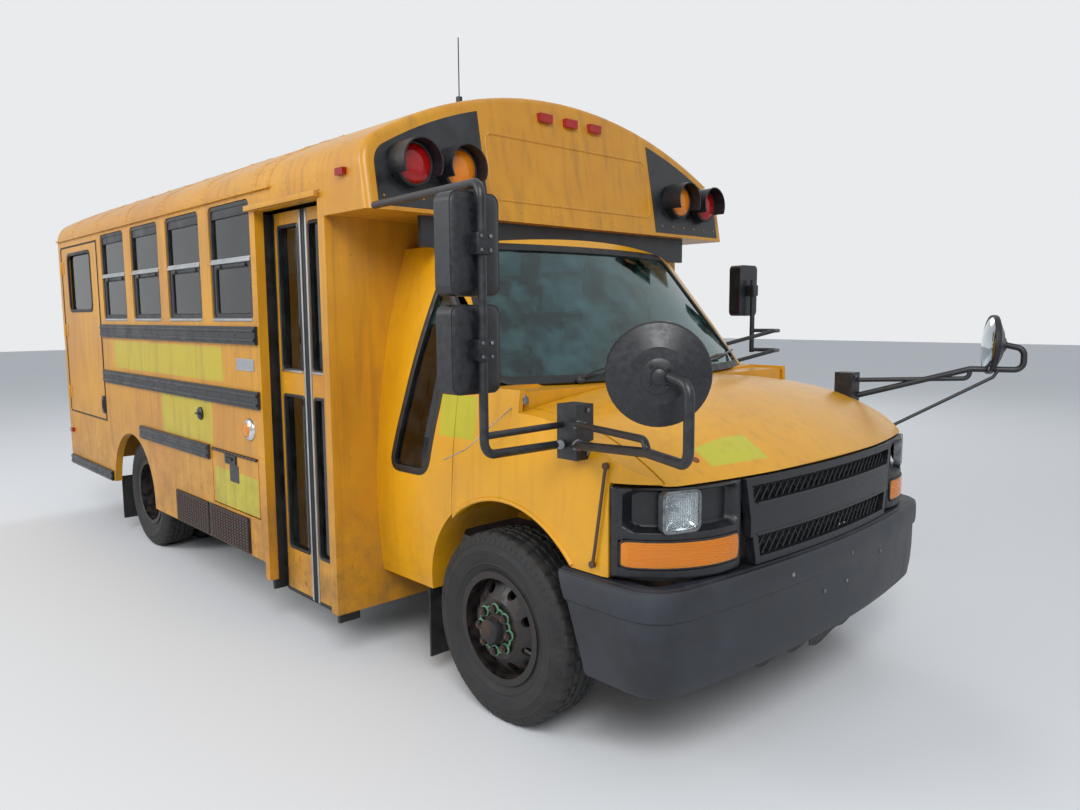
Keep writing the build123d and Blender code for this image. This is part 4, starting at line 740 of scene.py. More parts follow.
# Ribs of the rub rails, and the bolts between them: side, first and last station, bottom, top
RUB_RAILS = (
    (-1, -2000, 511, 1427, 1516), (-1, -2000, 511, 1110, 1197), (-1, -1280, -152, 786, 865),
    (1, -3028, 556, 1427, 1516), (1, -3028, 1156, 1110, 1197), (1, -1080, 1156, 786, 865),
    *((side, -3008, -1947, 402, 472) for side in (-1, 1)),
)
ribs = Piece("rub_rail_ribs", "bus", "black_enamel")
bolts = Piece("rub_rail_bolts", "bus", "black_enamel")
for side, x0, x1, low, high in RUB_RAILS:
    wall = on_side(side, BODY_HALF + 16)
    for share in (0.24, 0.76):
        z = low + (high - low) * share
        ribs.tube([wall(x, z, -2) for x in (x0 + 8, (x0 + x1) / 2, x1 - 8)], 9)
    middle = (low + high) / 2
    bolts.rivet_line(wall, (0, side, 0), (x0 + 24, middle), (x1 - 24, middle), 210, 6)

# Folded corner of the bulkhead and its screws
corner = Piece("bulkhead_corner_fold", "bus", "body_enamel")
corner.block((1150, -1192, 258), (1199, -1190, 1972), 0.8)
corner.block((1196, -1191, 258), (1198.5, -1160, 1972), 0.8)
corner.block((1196, -1162, 258), (1199.5, -1158, 1972), 1.2)
screws = Piece("bulkhead_screws", "bus", "body_enamel")


def on_bulkhead(x):
    """Drawing on the bulkhead's front or on its corner fold: u is to the left and v the height."""
    return lambda u, v, out: (x + out, u, v)


for x, first, last, pitch, radius in (
    (1198, (-1176, 330), (-1176, 1930), 320, 6), (1196, (-1120, 330), (-1120, 1930), 320, 6),
    (1196, (1120, 330), (1120, 1930), 320, 6), (1196, (-1090, 1950), (-900, 1950), 60, 5),
    (1196, (-1090, 285), (-720, 285), 90, 6),
):
    screws.rivet_line(on_bulkhead(x), (1, 0, 0), first, last, pitch, radius)

# ------------------------------------------------------------------ entrance: leaves, seals, rails and steps
LEAF_OUTER = 1100.0
PANES = ((430.0, 1185.0), (1310.0, 1985.0))
leaf = on_side(-1, LEAF_OUTER)
jambs = Piece("entrance_frame_seals", "bus", "window_rubber")
# name, rear and front edges, meeting edge, hinge, way from the meeting edge into the leaf, band's and foot's screws
for word, x0, x1, meet, hinge, way, marks in (
    ("rear", 538.5, 831.5, 831.5, 538.5, -1, (60, 223)), ("front", 839.5, 1132.5, 839.5, 1132.5, 1, (70, 92, 253)),
):
    body = f"entrance_leaf_{word}"
    rubber = Piece(f"{body}_seals", body, "window_rubber")
    strips = Piece(f"{body}_strips", body, "bright_aluminium")
    screws = Piece(f"{body}_screws", body, "front_enamel")
    for low, high in PANES:
        middle = ((x0 + x1) / 2, (low + high) / 2)
        rubber.rim((219, high - low + 16, 24), (189, high - low - 14, 14), leaf, -16, 5, 3, middle)
    # meeting edges: a soft black seal and a bright strip that clamps it
    lip = ((-3, -30), (-3, 4), (4, 9), (12, 6), (15, -1), (1, -1), (1, -30))
    lip = [(meet + way * along, LEAF_OUTER + out) for along, out in lip]
    rubber.plate(lip, lambda u, v, out: (u, -v, 202 + out), 1846)
    rubber.block(leaf(hinge + way * 2, 202, -30), leaf(hinge - way * 10, 2048, 3))
    rubber.block(leaf(x0 + 4, 196, -26), leaf(x1 - 4, 214, 2))
    strips.block(leaf(meet + way * 15, 204, -1), leaf(meet + way * 31, 2046, 4), 1.5)
    strips.block(leaf(x0 + 40, 1300, -1), leaf(x1 - 40, 1309, 7), 1.5)
    strips.rivet_line(on_side(-1, LEAF_OUTER + 4), OUT_RIGHT, (meet + way * 23, 240), (meet + way * 23, 2010), 295, 4)
    screws.domes([leaf(x0 + mark, 1247, 0) for mark in marks], OUT_RIGHT, 7, 8)
    screws.domes([leaf(x, z, 0) for x in (x0 + 16, x1 - 34) for z in (250, 325, 400)], OUT_RIGHT)
    # rubber on the jamb, stepped to stay clear of what stands proud of the leaf when it is open
    for inner, y0, y1 in ((12.5, -1165, -1099), (4.5, -1099, -1062)):
        near, far = sorted((hinge + way * inner, hinge + way * 32))
        jambs.block((near, y0, 205), (far, y1, 2050), 1)
rail = Piece("entrance_grab_rails", "bus", "bright_aluminium")
for x in (560, 1112):
    bends = ((-1010, 620), (-985, 660), (-970, 900), (-960, 1300), (-960, 1560), (-1000, 1600))
    rail.tube([(x, y, z) for y, z in bends], 14, 12)
nosing = Piece("entrance_step_nosings", "bus", "bright_aluminium")
for z in (770, 450):
    edge = touch("entrance_steps", (835, -1600, z), (0, 1, 0))[0]
    top = touch("entrance_steps", (835, edge.y + 10, 1900), (0, 0, -1))[0]
    nosing.block((560, edge.y - 2, top.z - 24), (1112, edge.y + 26, top.z + 3), 1.5)

# ------------------------------------------------------------------ front cap, and the warning lamps of both ends
panels = Piece("cap_lamp_panels", "bus", "black_enamel")
edge = [(y, z) for y, z in crown_edge(52) if y > 590]
top = edge[-1][1] + (edge[-1][0] - 578) * 0.28
for side in (-1, 1):
    outline = ((1138, 1996), *edge, (578, top), (578, 1996))
    panels.plate([(side * y, z) for y, z in outline], on_cap, 1.6)
sign = Piece("sign_frame", "bus", "body_enamel")
ridge, groove = rounded(1110, 302, 42, (0, 2216), 6), rounded(1088, 280, 34, (0, 2216), 6)
sign.surround(ridge, groove, on_cap, -1, 4.5, 3)
rivets = Piece("cap_rivets", "bus", "body_enamel")
lean_out = (math.cos(CAP_LEAN), 0, math.sin(CAP_LEAN))
rivets.rivet_line(on_cap, lean_out, (-540, 2022), (540, 2022), 77, 4.5)
rivets.domes([on_cap(side * y, 2034, 1.6) for side in (-1, 1) for y in spread(640, 1110, 94)], lean_out, 4.5)
LENS_DOME = ((79, 3), (78, 6), (70, 12), (54, 18), (36, 22), (18, 24), (0, 24.5))
for end, x, out, lamps in (
    ("front", CAP_FRONT + 20, (1, 0, 0), ((755, 2170, "amber"), (985, 2165, "red"))),
    ("rear", -3077.5, OUT_REAR, ((755, 2250, "amber"), (985, 2235, "red"))),
):
    for half, height, hue in lamps:
        lenses = Piece(f"warning_lenses_{hue}_{end}", "bus", f"{hue}_lens")
        gaskets = Piece(f"warning_gaskets_{hue}_{end}", "bus", "window_rubber")
        backs = Piece(f"warning_reflectors_{hue}_{end}", "bus", "lamp_reflector")
        for side in (-1, 1):
            place = (x, side * half, height)
            lenses.turned(place, out, LENS_DOME, 40)
            gaskets.turned(place, out, ((89, -1), (90, 5), (84, 8), (78, 6), (78, -1)), 40)
            backs.turned(place, out, ((77, 0.5), (77, 2.0), (0, 2.4)), 40)

# ------------------------------------------------------------------ roof bows and their rivets
straps = Piece("roof_bow_straps", "bus", "body_enamel")
rivets = Piece("roof_bow_rivets", "bus", "body_enamel")
arch, under = (
    [*half, *((-y, z) for y, z in reversed(half[:-1]))] for half in (crown_edge(-1.8, 10), crown_edge(0.5, 10))
)
for x in (*(WINDOW_FIRST - index * WINDOW_PITCH + 68 for index in range(6)), 690):
    edges = ((-24, under), (-23, arch), (23, arch), (24, under))
    straps.loft([straps.row([(x + across, y, z) for y, z in line]) for across, line in edges], False, looped=True)
    for y, z in arch:
        rivets.domes([(x - 14, y, z), (x + 14, y, z)], (0, y, z - CROWN_HEIGHT if abs(y) < 1100 else 200))

# ------------------------------------------------------------------ windscreen, cab window and wipers
SCREEN = divided(rounded_corners(((-845, 1305), (845, 1305), (690, 1865), (-690, 1865)), 60), 60)
gasket = Piece("windscreen_gasket", "bus", "window_rubber")
gasket.surround(grown(SCREEN, 16), grown(SCREEN, -14), on_screen, -10, 5, 4)
QUARTER = divided(rounded_corners(((-486, 1748), (-323, 1555), (-446, 912), (-704, 909)), 62), 50)
seal = Piece("cab_window_seal", "bus", "window_rubber")
seal.surround(grown(QUARTER, 13), grown(QUARTER, -16), on_cab(-1), -16, 5, 3)
wipers = Piece("wipers", "bus", "black_enamel")
for pivot, reach in ((-520, 470), (110, 520)):
    foot = Vector(on_screen(pivot, 1292, 22))
    wipers.turned(foot - Vector((10, 0, 12)), SCREEN_OUT, ((17, 0), (17, 14), (12, 20), (0, 21)), 16)
    arm = [on_screen(pivot + reach * step / 6, 1300 + 46 * math.sin(step / 6 * 1.9), 26) for step in range(1, 7)]
    wipers.tube([foot + Vector((4, 0, 4)), *arm], 6, 6, flat=0.7)
    start = pivot + reach * 0.42
    for radius, sides, out in ((5, 6, 16), (3.5, 4, 8)):
        blade = [on_screen(start + 560 * (t / 8 - 0.05), 1334 + 26 * t / 8, out) for t in range(9)]
        wipers.tube(blade, radius, sides)
header = Piece("header_cover", "bus", "black_enamel")
ys = spread(-896, 896, 64)
lows = [touch("cab_shell", (1460, y, 2100), (0, 0, -1))[0].z - 3 if abs(y) < 860 else 0.0 for y in ys]
lows, highs = [max(1850.0, z) for z in lows], [1980.0] * len(ys)
rows = [
    header.row([(x, y, z) for y, z in zip(ys, heights)])
    for x, heights in ((1446, lows), (1470, lows), (1470, highs), (1446, highs))
]
header.loft(rows, closed=False, looped=True)
for end in (0, -1):
    header.form.faces.new([row[end] for row in rows])


# ------------------------------------------------------------------ lamp mouldings with their pockets
LAMP_X, LAMP_Y, LAMP_Z, LAMP_TURN = front(752), 828.0, 934.0, math.radians(20)
TURN_LAMP_HEIGHT = 791
# edges of the moulding, and the pockets in it as middle, half size and corner radius
MOULDING_IN, MOULDING_OUT, MOULDING_LOW, MOULDING_HIGH = 567, 968, 707, 1010
HEADLAMP_POCKET = ((772, 934), (182, 72), 34)
TURN_LAMP_POCKET = ((773, TURN_LAMP_HEIGHT), (184, 48), 16)


def eased(share):
    """Smooth step from 0 to 1."""
    share = min(1.0, max(0.0, share))
    return share * share * (3 - 2 * share)


def inside_by(u, v, middle, half, radius):
    """How far a point lies inside a rectangle with round corners."""
    dx, dy = abs(u - middle[0]) - half[0] + radius, abs(v - middle[1]) - half[1] + radius
    return radius - math.hypot(max(dx, 0), max(dy, 0)) - min(max(dx, dy), 0)


def on_lamp(side, lift=0.0):
    """Drawing on a headlamp's own face, lifted off it: u is outward, v up."""
    along, across = math.cos(LAMP_TURN), math.sin(LAMP_TURN)

    def place(u, v, out):
        out += lift
        return (LAMP_X + out * along - u * across, side * (LAMP_Y + out * across + u * along), LAMP_Z + v)

    return place


def belly(v):
    """How far a turn lamp's lens swells at a height."""
    return 2.0 * (1 - ((v - TURN_LAMP_HEIGHT) / 44) ** 2)


mouldings = Piece("lamp_mouldings", "bus", "black_moulding", "lamp_bezels", 45)
rings = Piece("headlamp_rings", "bus", "zinc_steel")
bowls = Piece("headlamp_bowls", "bus", "lamp_reflector")
bulbs = Piece("headlamp_bulbs", "bus", "chrome")
glass = Piece("headlamp_glasses", "bus", "clear_lens", "headlamps")
lenses = Piece("turn_lamp_lenses", "bus", "amber_lens", "turn_lamps")
backs = Piece("turn_lamp_reflectors", "bus", "lamp_reflector")
gaskets = Piece("turn_lamp_gaskets", "bus", "window_rubber")
for side in (-1, 1):
    nose, lamp = on_nose(side), on_lamp(side)
    rows = []
    for v in spread(MOULDING_LOW, MOULDING_HIGH, 5.4):
        points = []
        for u in spread(MOULDING_IN, MOULDING_OUT, 5.6):
            # the moulding's face, rolled back at its rim, with the lamp's pocket and the seat of the turn lamp
            rim = min(u - MOULDING_IN, MOULDING_OUT - u, v - MOULDING_LOW, MOULDING_HIGH - v)
            out = -7 * (1 - eased(rim / 9)) ** 2
            out -= 44 * eased(inside_by(u, v, *HEADLAMP_POCKET) / 15)
            out -= 26 * eased(inside_by(u, v, *TURN_LAMP_POCKET) / 5)
            points.append(nose(u, v, out))
        rows.append(mouldings.row(points))
    mouldings.loft(rows, closed=False)
    border = border_of(rows)
    mouldings.stitch(border, mouldings.row([(vert.co.x - 38, vert.co.y * 0.985, vert.co.z) for vert in border]))

    rings.rim((146, 140, 24), (128, 122, 17), lamp, -26, 4, 2)
    # the reflector's bowl, from its mouth to its back: width, height, corner radius, depth
    steps = (
        (130, 124, 18, -6), (122, 116, 16, -13), (100, 96, 22, -26), (68, 66, 26, -38), (32, 32, 14, -45),
        (12, 12, 5, -46),
    )
    rows = [bowls.row([lamp(u, v, out) for u, v in rounded(*size)]) for *size, out in steps]
    bowls.loft(rows)
    bowls.form.faces.new(rows[-1])
    out = Vector(lamp(0, 0, 1)) - Vector(lamp(0, 0, 0))
    bulbs.turned(lamp(0, 0, -44), out, ((9, 0), (9, 16), (6, 24), (0, 26)), 16)
    glass.plate(rounded(130, 124, 18), on_lamp(side, -4), 7, 3)
    for u in spread(-52, 52, 8.7):
        glass.tube([lamp(u, v, 2.6) for v in (-54, 0, 54)], 1.8, 6)

    # turn lamp: a wrapped amber lens over a bright reflector
    for piece, depths, swell in ((lenses, (-3, 3), 1), (backs, (-24, -22), 0)):
        sheets = []
        for depth, share in zip(depths, (0, swell)):
            sheets.append([piece.row([nose(u, v, depth + share * belly(v)) for u in spread(594, 952, 12)])
                           for v in spread(747, 835, 11)])
            piece.loft(sheets[-1], closed=False)
        piece.stitch(*(border_of(sheet) for sheet in sheets))
    for z in spread(757, 825, 8.5):
        lenses.tube([nose(u, z, 3.5 + belly(z)) for u in spread(604, 942, 26)], 1.5, 5)
    outline = divided(rounded(362, 90, 14, (773, TURN_LAMP_HEIGHT)), 30)
    gaskets.tube([nose(u, v, 1) for u, v in outline], 4.5, 8, closed=True)

# ------------------------------------------------------------------ expanded mesh of the grille
nose = on_nose()
mesh = Piece("grille_mesh", "bus", "black_moulding")
for lean in (-1, 1):
    for start in spread(-740, 740, 40):
        strand = [(start + lean * (v - 860) * 0.78, v) for v in spread(722, 996, 21)]
        strand = [nose(u, v, -13 + 2.2 * lean) for u, v in strand if abs(u) < 494 + (v - 705) * 0.17]
        if len(strand) > 2:
            mesh.tube(strand, 3.4, 5)
backing = Piece("grille_backing", "bus", "black_rubber")
rows = [
    backing.row([nose(u, v, depth) for u in spread(-520, 520, 52)])
    for v, depth in ((716, -52), (1000, -52), (1000, -48), (716, -48))
]
backing.loft(rows, closed=False, looped=True)
trim = Piece("grille_bar_border", "bus", "black_moulding")
for z in (810, 919):
    trim.tube([ahead("grille", y, z)[0] for y in spread(-500, 500, 50)], 4, 6)
cap = Piece("hood_plug", "hood", "brown_cap")
point, out = ahead("hood", -678, 1076)
cap.turned(point - out, out, ((14, 0), (14, 3), (11, 5), (6, 4), (0, 4)), 20)

# ------------------------------------------------------------------ front bumper: stepped cover with a ledge on top
COVER_SECTION = (
    # how far out of the face, height: over the ledge, down the face past its crease, and back up inside
    (-84, 694), (-44, 700), (-30, 700), (-24, 696), (-12, 695), (-4, 688), (0, 672), (1, 650), (1, 608), (-1, 600),
    (-9, 593), (-11, 586), (-12, 480), (-16, 410), (-24, 356), (-32, 341), (-44, 337), (-44, 350), (-34, 366),
    (-26, 480), (-26, 660), (-84, 676),
)
cover = Piece("bumper_cover", "bus", "grey_bumper", "front_bumper", 30)
heart = Vector((front(400), 0))
plan = [Vector((front(352), 1005))]
for step in range(61):
    turn = math.radians(88 - 176 * step / 60)
    away = Vector((math.cos(turn), math.sin(turn), 0))
    plan.append(touch("front_bumper", Vector((*heart, 690)) + away * 2500, -away)[0].xy)
plan.append(Vector((front(352), -1005)))
rows = []
for i, point in enumerate(plan):
    along = (plan[min(i + 1, len(plan) - 1)] - plan[max(i - 1, 0)]).normalized()
    away = Vector((along.y, -along.x))
    if away.dot(point - heart) < 0:
        away = -away
    points = []
    for out, z in COVER_SECTION:
        x, y = point + away * out
        # the wheel arch cuts its ends on a slant
        cut = 353 + (713 - z) * 0.351 if z > 411 else 459 + (411 - z) * 0.1
        points.append((max(x, front(cut)), y, z))
    rows.append(cover.row(points))
cover.loft(rows, capped=True)
bmesh.ops.remove_doubles(cover.form, verts=cover.form.verts, dist=0.05)
bolts = Piece("bumper_bolts", "bus", "zinc_steel")
for y, z in ((-89, 520), (89, 520), (105, 630), (-330, 640), (420, 566)):
    # the plate's two bolts stand in its holes, so their height is set after the face is found
    point, out = ahead("front_bumper", y, z + 20)
    point = Vector((point.x, y, z)) - out * (0 if z > 600 else 11)
    bolts.turned(point - out, out, ((9, 0), (9, 3.5), (5.5, 5), (5, 4), (0, 4)), 14)
# air deflector that hangs torn from its middle under the bumper
flap = Piece("air_deflector", "bus", "black_rubber")
rows = []
for step, y in enumerate(spread(-420, 300, 30)):
    sag = 14 * math.sin(step * 0.9) + (46 if y > -60 else 6) * math.sin(math.pi * (y + 420) / 720)
    x = ahead("front_bumper", y, 400)[0].x - 58
    rows.append(flap.row([
        (x, y, 362), (x - 14 - sag * 0.25, y, 320 - sag * 0.4), (x - 24 - sag * 0.4, y, 298 - sag),
        (x - 28 - sag * 0.4, y, 298 - sag), (x - 18 - sag * 0.25, y, 320 - sag * 0.4), (x - 4, y, 362),
    ]))
flap.loft(rows, capped=True)

# ------------------------------------------------------------------ tyres with their tread, wheel nuts and hubs
SIDEWALL = (
    # half width, radius: from the bead to the shoulder, with the rim guard and the mould's rings
    (84, 203), (92, 210), (93, 219), (90, 222), (92, 228), (99, 240), (103, 247), (106.5, 251), (105, 256), (109, 266),
    (112, 280), (113, 296), (114.6, 300), (114.6, 303), (112.5, 306), (109, 322), (107.5, 326), (109, 330),
    (104, 344), (99, 353), (94, 360),
)
# half width, depth below the tread's crown, and which row of blocks it belongs to, 0 for a groove
TREAD = (
    (88, 4, 3), (80, 1, 3), (72, 0, 3), (56, 0, 3), (53, 9, 0), (46, 9, 0), (43, 0, 2), (24, 0, 2), (21, 9, 0),
    (15, 9, 0), (12, 0, 1), (0, 0, 1),
)
TYRE_STEPS, BLOCK_STEPS = 210, 5
STUDS, STUD_CIRCLE = 8, 82.5
NUT = ((15, -1), (15, 2), (12.6, 3), (12.6, 18), (10, 22), (0, 22))
STUD_END = ((6, 19), (6, 31), (5, 33), (0, 33))
# grease cap of a front hub in the disc's bore, and driven flange of the rear axle
GREASE_CAP = ((60.5, -14), (60.5, 3), (56, 8), (50, 10), (48, 38), (45, 44), (36, 48), (0, 50))
AXLE_FLANGE = ((60, -20), (60, 58), (57, 62), (40, 64), (38, 88), (33, 93), (0, 95))


def around(x, y, radius, turn):
    """Point on a circle round a wheel's axis."""
    return (x + radius * math.cos(turn), y, HUB_HEIGHT + radius * math.sin(turn))


def tyre_ring(piece, x, y, flip):
    """One tyre: grooved tread of staggered blocks between two moulded sidewalls."""
    half = [(w, r, 0) for w, r in SIDEWALL] + [(w, TYRE_RADIUS - depth, block) for w, depth, block in TREAD]
    section = half + [(-w, r, block) for w, r, block in reversed(half[:-1])]
    rows = []
    for step in range(TYRE_STEPS):
        points = []
        for w, r, block in section:
            # a cross groove every few steps, staggered from one row of blocks to the next
            lag = (2 if w < 0 else 0) + block
            if block and (step + lag) % BLOCK_STEPS == 0:
                r -= 7.0 if block != 1 else 3.0
            elif block == 0 and r > 360 and abs(w) < 60:
                w += 1.8 * math.sin(step * math.tau / BLOCK_STEPS)
            points.append(around(x, y + flip * w, r, math.tau * step / TYRE_STEPS))
        rows.append(piece.row(points))
    piece.loft(rows, closed=False, looped=True)


WHEELS = (
    # word, station, side, disc face, middles of its tyres
    ("front_left", AXLE_FRONT, 1, FRONT_DISC, (874.0,)), ("front_right", AXLE_FRONT, -1, FRONT_DISC, (874.0,)),
    ("rear_left", AXLE_REAR, 1, 878.0, (994.5, 729.5)), ("rear_right", AXLE_REAR, -1, 878.0, (994.5, 729.5)),
)
for word, x, side, disc, middles in WHEELS:
    dual = len(middles) > 1
    body = f"wheels_{word}" if dual else f"wheel_{word}"
    rubber = Piece(f"tyre_tread_{word}", body, "tyre_rubber", f"tyres_{word}" if dual else f"tyre_{word}", 30)
    for middle in middles:
        tyre_ring(rubber, x, side * middle, side)
    # short raised ribs round the shoulder of the outer sidewall
    for turn in (math.tau * step / 72 for step in range(72)):
        ends = [around(x, side * (middles[0] + off), radius, turn) for off, radius in ((107.5, 333), (101.5, 349))]
        rubber.tube(ends, 2.4, 4)
    nuts = Piece(f"wheel_nuts_{word}", body, "rusty_steel")
    hub = Piece(f"wheel_hub_{word}", body, "chassis_iron")
    hub.turned((x, side * disc, HUB_HEIGHT), (0, side, 0), AXLE_FLANGE if dual else GREASE_CAP, 32)
    for step in range(STUDS):
        place = around(x, side * disc, STUD_CIRCLE, math.tau * step / STUDS)
        nuts.turned(place, (0, side, 0), NUT, 6)
        nuts.turned(place, (0, side, 0), STUD_END, 8)
        if dual:
            # the flange's own ring of bolts
            place = around(x, side * (disc + 61), 49, math.tau * (step + 0.5) / STUDS)
            hub.turned(place, (0, side, 0), ((7, 0), (7, 8), (5, 9), (0, 9)), 6)
    valve = Piece(f"tyre_valve_{word}", body, "black_rubber")
    foot = Vector((x + 150, side * (middles[0] + 60), HUB_HEIGHT + 122))
    valve.tube((foot, foot + Vector((6, side * 34, 5))), 4.5, 8)

# green ring that shows whether a nut has turned: a loop round every nut, joined by arcs
for word, side in (("left", 1), ("right", -1)):
    ring = Piece(f"nut_indicator_{word}", f"wheel_front_{word}", "green_plastic")
    y = side * (FRONT_DISC + 9)
    for turn in (math.tau * step / STUDS for step in range(STUDS)):
        x, _, z = around(AXLE_FRONT, y, STUD_CIRCLE, turn)
        loop = [math.tau * k / 18 for k in range(18)]
        ring.tube([(x + 17.5 * math.cos(t), y, z + 17.5 * math.sin(t)) for t in loop], 4.2, 6, closed=True)
        start, end = turn + 0.215, turn + math.tau / STUDS - 0.215
        link = [(84 + 5 * math.sin(math.pi * k / 5), start + (end - start) * k / 5) for k in range(6)]
        ring.tube([around(AXLE_FRONT, y, radius, t) for radius, t in link], 4.2, 6)

# ------------------------------------------------------------------ mirrors
POST, DOOR_POST = (front(440), -1385.0), (front(-390), 1385.0)
SMALL_BOLT = ((6, 0), (6, 4), (4, 6), (0, 6))
ARM_BOLT, BRACKET_BOLT = (((8, foot), (8, 4), (5, 6), (0, 6)) for foot in (0, -1))


def tall_mirror(faces, rims, clamps, post, z, height):
    """Face, rim and clamp of a tall head on its post, its u outward."""
    way = math.copysign(1, post[1])

    def on_head(u, v, out):
        return (post[0] - 100 - out, post[1] + way * u, z + v)

    faces.plate(rounded(163, height - 24, 22), on_head, 1.2)
    rims.rim((184, height - 1, 30), (160, height - 26, 20), on_head, -2, 5, 2)
    clamps.block((post[0] - 26, post[1] - 27, z - 32), (post[0] + 21, post[1] + 27, z + 32), 6)


faces = Piece("mirror_faces_right", "bus", "mirror_glass")
rims = Piece("mirror_face_rims_right", "bus", "black_moulding")
clamps = Piece("mirror_clamps_right", "bus", "black_moulding")
screws = Piece("mirror_clamp_bolts", "bus", "zinc_steel")
for z, height in ((1770, 300), (1463, 265)):
    tall_mirror(faces, rims, clamps, POST, z, height)
    # pressed crown on the back, beside the post
    rows = []
    for inset, out in ((4, 0), (10, 5), (26, 9), (52, 11)):
        outline = rounded(185 - 2 * inset, height - 2 * inset, max(6, 32 - inset * 0.4))
        rows.append(rims.row([(POST[0] - 30 + out, POST[1] - u, z + v) for u, v in outline]))
    rims.loft(rows, capped=True)
    for y in (-17, 17):
        for up in (-20, 20):
            screws.turned((POST[0] + 20, POST[1] + y, z + up), (1, 0, 0), SMALL_BOLT, 6)
screws.turned((front(412), 1012, 1235), OUT_LEFT, ARM_BOLT, 6)
for side in (-1, 1):
    for z in (1105, 1250):
        screws.turned((front(462), side * 960, z), (1, 0, 0), BRACKET_BOLT, 6)
# mirror of the driver's door, on its hoops
rims = Piece("mirror_face_rim_left", "driver_door", "black_moulding")
tall_mirror(Piece("mirror_face_left", "driver_door", "mirror_glass"), rims, rims, DOOR_POST, 1697, 300)
# clamp collars where the bars leave the bracket, and the bright sleeves of the adjustable bars
sleeves = Piece("mirror_bar_sleeves", "bus", "zinc_steel")
for z, reach, radius, collar_z, collar in ((1137, 112, 15.2, 1137, 21), (1202, 64, 12, 1203, 17)):
    end = (front(446 + reach), -1000 - reach * 0.42, z + reach * 0.1)
    sleeves.tube([(front(446), -1000, z), end], radius, 14)
    shape = ((collar, 0), (collar, 12), (collar - 4, 15), (0, 15))
    sleeves.turned((front(452), -1000, collar_z), (1, -0.42, 0.1), shape, 6)
sleeves.tube([(front(388), -1013, 1136), (front(412), -1040, 1138)], 15.4, 14)
# worn strut that hangs loose beside the lamp moulding
strut = Piece("loose_mirror_strut", "bus", "rusty_steel")
path = []
for z, station in ((1075, 550), (1040, 546), (900, 532), (780, 516), (742, 508)):
    path.append((front(station), touch("fenders", (front(station), -1400, z), OUT_LEFT)[0].y - 12, z))
strut.tube(path, 5.5, 8)
for x, y, z in (path[0], path[-1]):
    strut.turned((x, y - 7, z), OUT_LEFT, ((12, 0), (12, 12), (9, 14), (0, 14)), 14)

EYES = Vector((front(-450), 430, 1500))
CROSSOVER_GLASS = ((127, 0), (127, 2), (118, 8), (96, 15), (64, 20), (30, 23), (0, 24))
CROSSOVER_RIM = ((135.5, -9), (138, -4), (138, 12), (134, 17), (126, 14), (126, 10))
CROSSOVER_BOSS = ((46, 0), (46, 8), (40, 11), (22, 12), (20, 22), (12, 26), (0, 26))
glasses = Piece("crossover_glasses", "bus", "mirror_glass")
rims = Piece("crossover_rims", "bus", "window_rubber")
bosses = Piece("crossover_bosses", "bus", "black_moulding")
for side in (-1, 1):
    # each convex head faces the driver's eyes
    centre = Vector((front(980), side * 1246, 1410))
    facing = (EYES - centre).normalized()
    glasses.turned(centre + facing * 11, facing, CROSSOVER_GLASS, 48)
    rims.turned(centre, facing, CROSSOVER_RIM, 48)
    bosses.turned(centre - facing * 38, -facing, CROSSOVER_BOSS, 24)
    for step in range(4):
        offset = Matrix.Rotation(math.tau * step / 4, 3, facing) @ facing.orthogonal().normalized()
        bosses.turned(centre - facing * 46 + offset * 33, -facing, ((6, 0), (6, 5), (4, 7), (0, 7)), 6)
strut = Piece("crossover_strut_left", "bus", "arm_enamel")
strut.tube([(front(640), 948, 1002), (front(655), 985, 1030), (front(1010), 1188, 1262), (front(1020), 1215, 1290)], 8)
strut.turned((front(636), 940, 996), (0.2, 0.8, 0.5), ((20, -2), (20, 5), (13, 9), (0, 9)), 16)

# ------------------------------------------------------------------ fender aerial and arch lips
aerial = Piece("fender_aerial", "bus", "zinc_steel")
aerial.turned((front(90), -900, 1240), (0, -0.2, 1), ((15, 0), (15, 18), (9, 26), (5, 34), (0, 34)), 16)
whip = ((90, -902, 1262), (70, -925, 1240), (0, -1000, 1150), (-100, -1030, 1062), (-200, -1062, 1012))
aerial.tube([(front(x), y, z) for x, y, z in whip], 2.2, 6)
lips = Piece("front_arch_lips", "bus", "front_enamel")
for side in (-1, 1):
    path = []
    for turn in (math.radians(-8 + 196 * step / 48) for step in range(12, 34)):
        x, z = front(40) + 478 * math.cos(turn), 400 + 478 * math.sin(turn)
        path.append(touch("fenders", (x, side * 1400, z), (0, -side, 0))[0] - Vector((0, side, 0)))
    lips.tube(path, 9, 8)

# ------------------------------------------------------------------ doors of the right wall
lift = Piece("lift_door_seals", "lift_door", "window_rubber")
lift.rim((942, 1273, 22), (924, 1255, 16), RIGHT, -6, 5, 3, (-2496, 1464.5))
lift.rim((612, 448, 52), (566, 402, 36), RIGHT, -8, 6, 3, (-2495.5, 1827.5))
iron = Piece("lift_door_hardware", "lift_door", "body_enamel")
for z in (980, 1464, 1948):
    iron.turned((-2962.5, -1194, z - 50), (0, 0, 1), ((8, 0), (9, 2), (9, 98), (8, 100)), 14)
    iron.block(RIGHT(-2956, z - 46, -1), RIGHT(-2900, z + 46, 3), 1)
    iron.domes([RIGHT(x, up, 3) for x in (-2940, -2914) for up in (z - 30, z, z + 30)], OUT_RIGHT)
latch = Piece("lift_door_latch", "lift_door", "black_moulding")
latch.plate(rounded(60, 128, 12, (-2072, 941)), RIGHT, 6, 2)
latch.rim((48, 112, 10), (30, 60, 8), RIGHT, 4, 12, 3, (-2072, 941))
latch.block(RIGHT(-2084, 936, 5), RIGHT(-2060, 972, 16), 4)

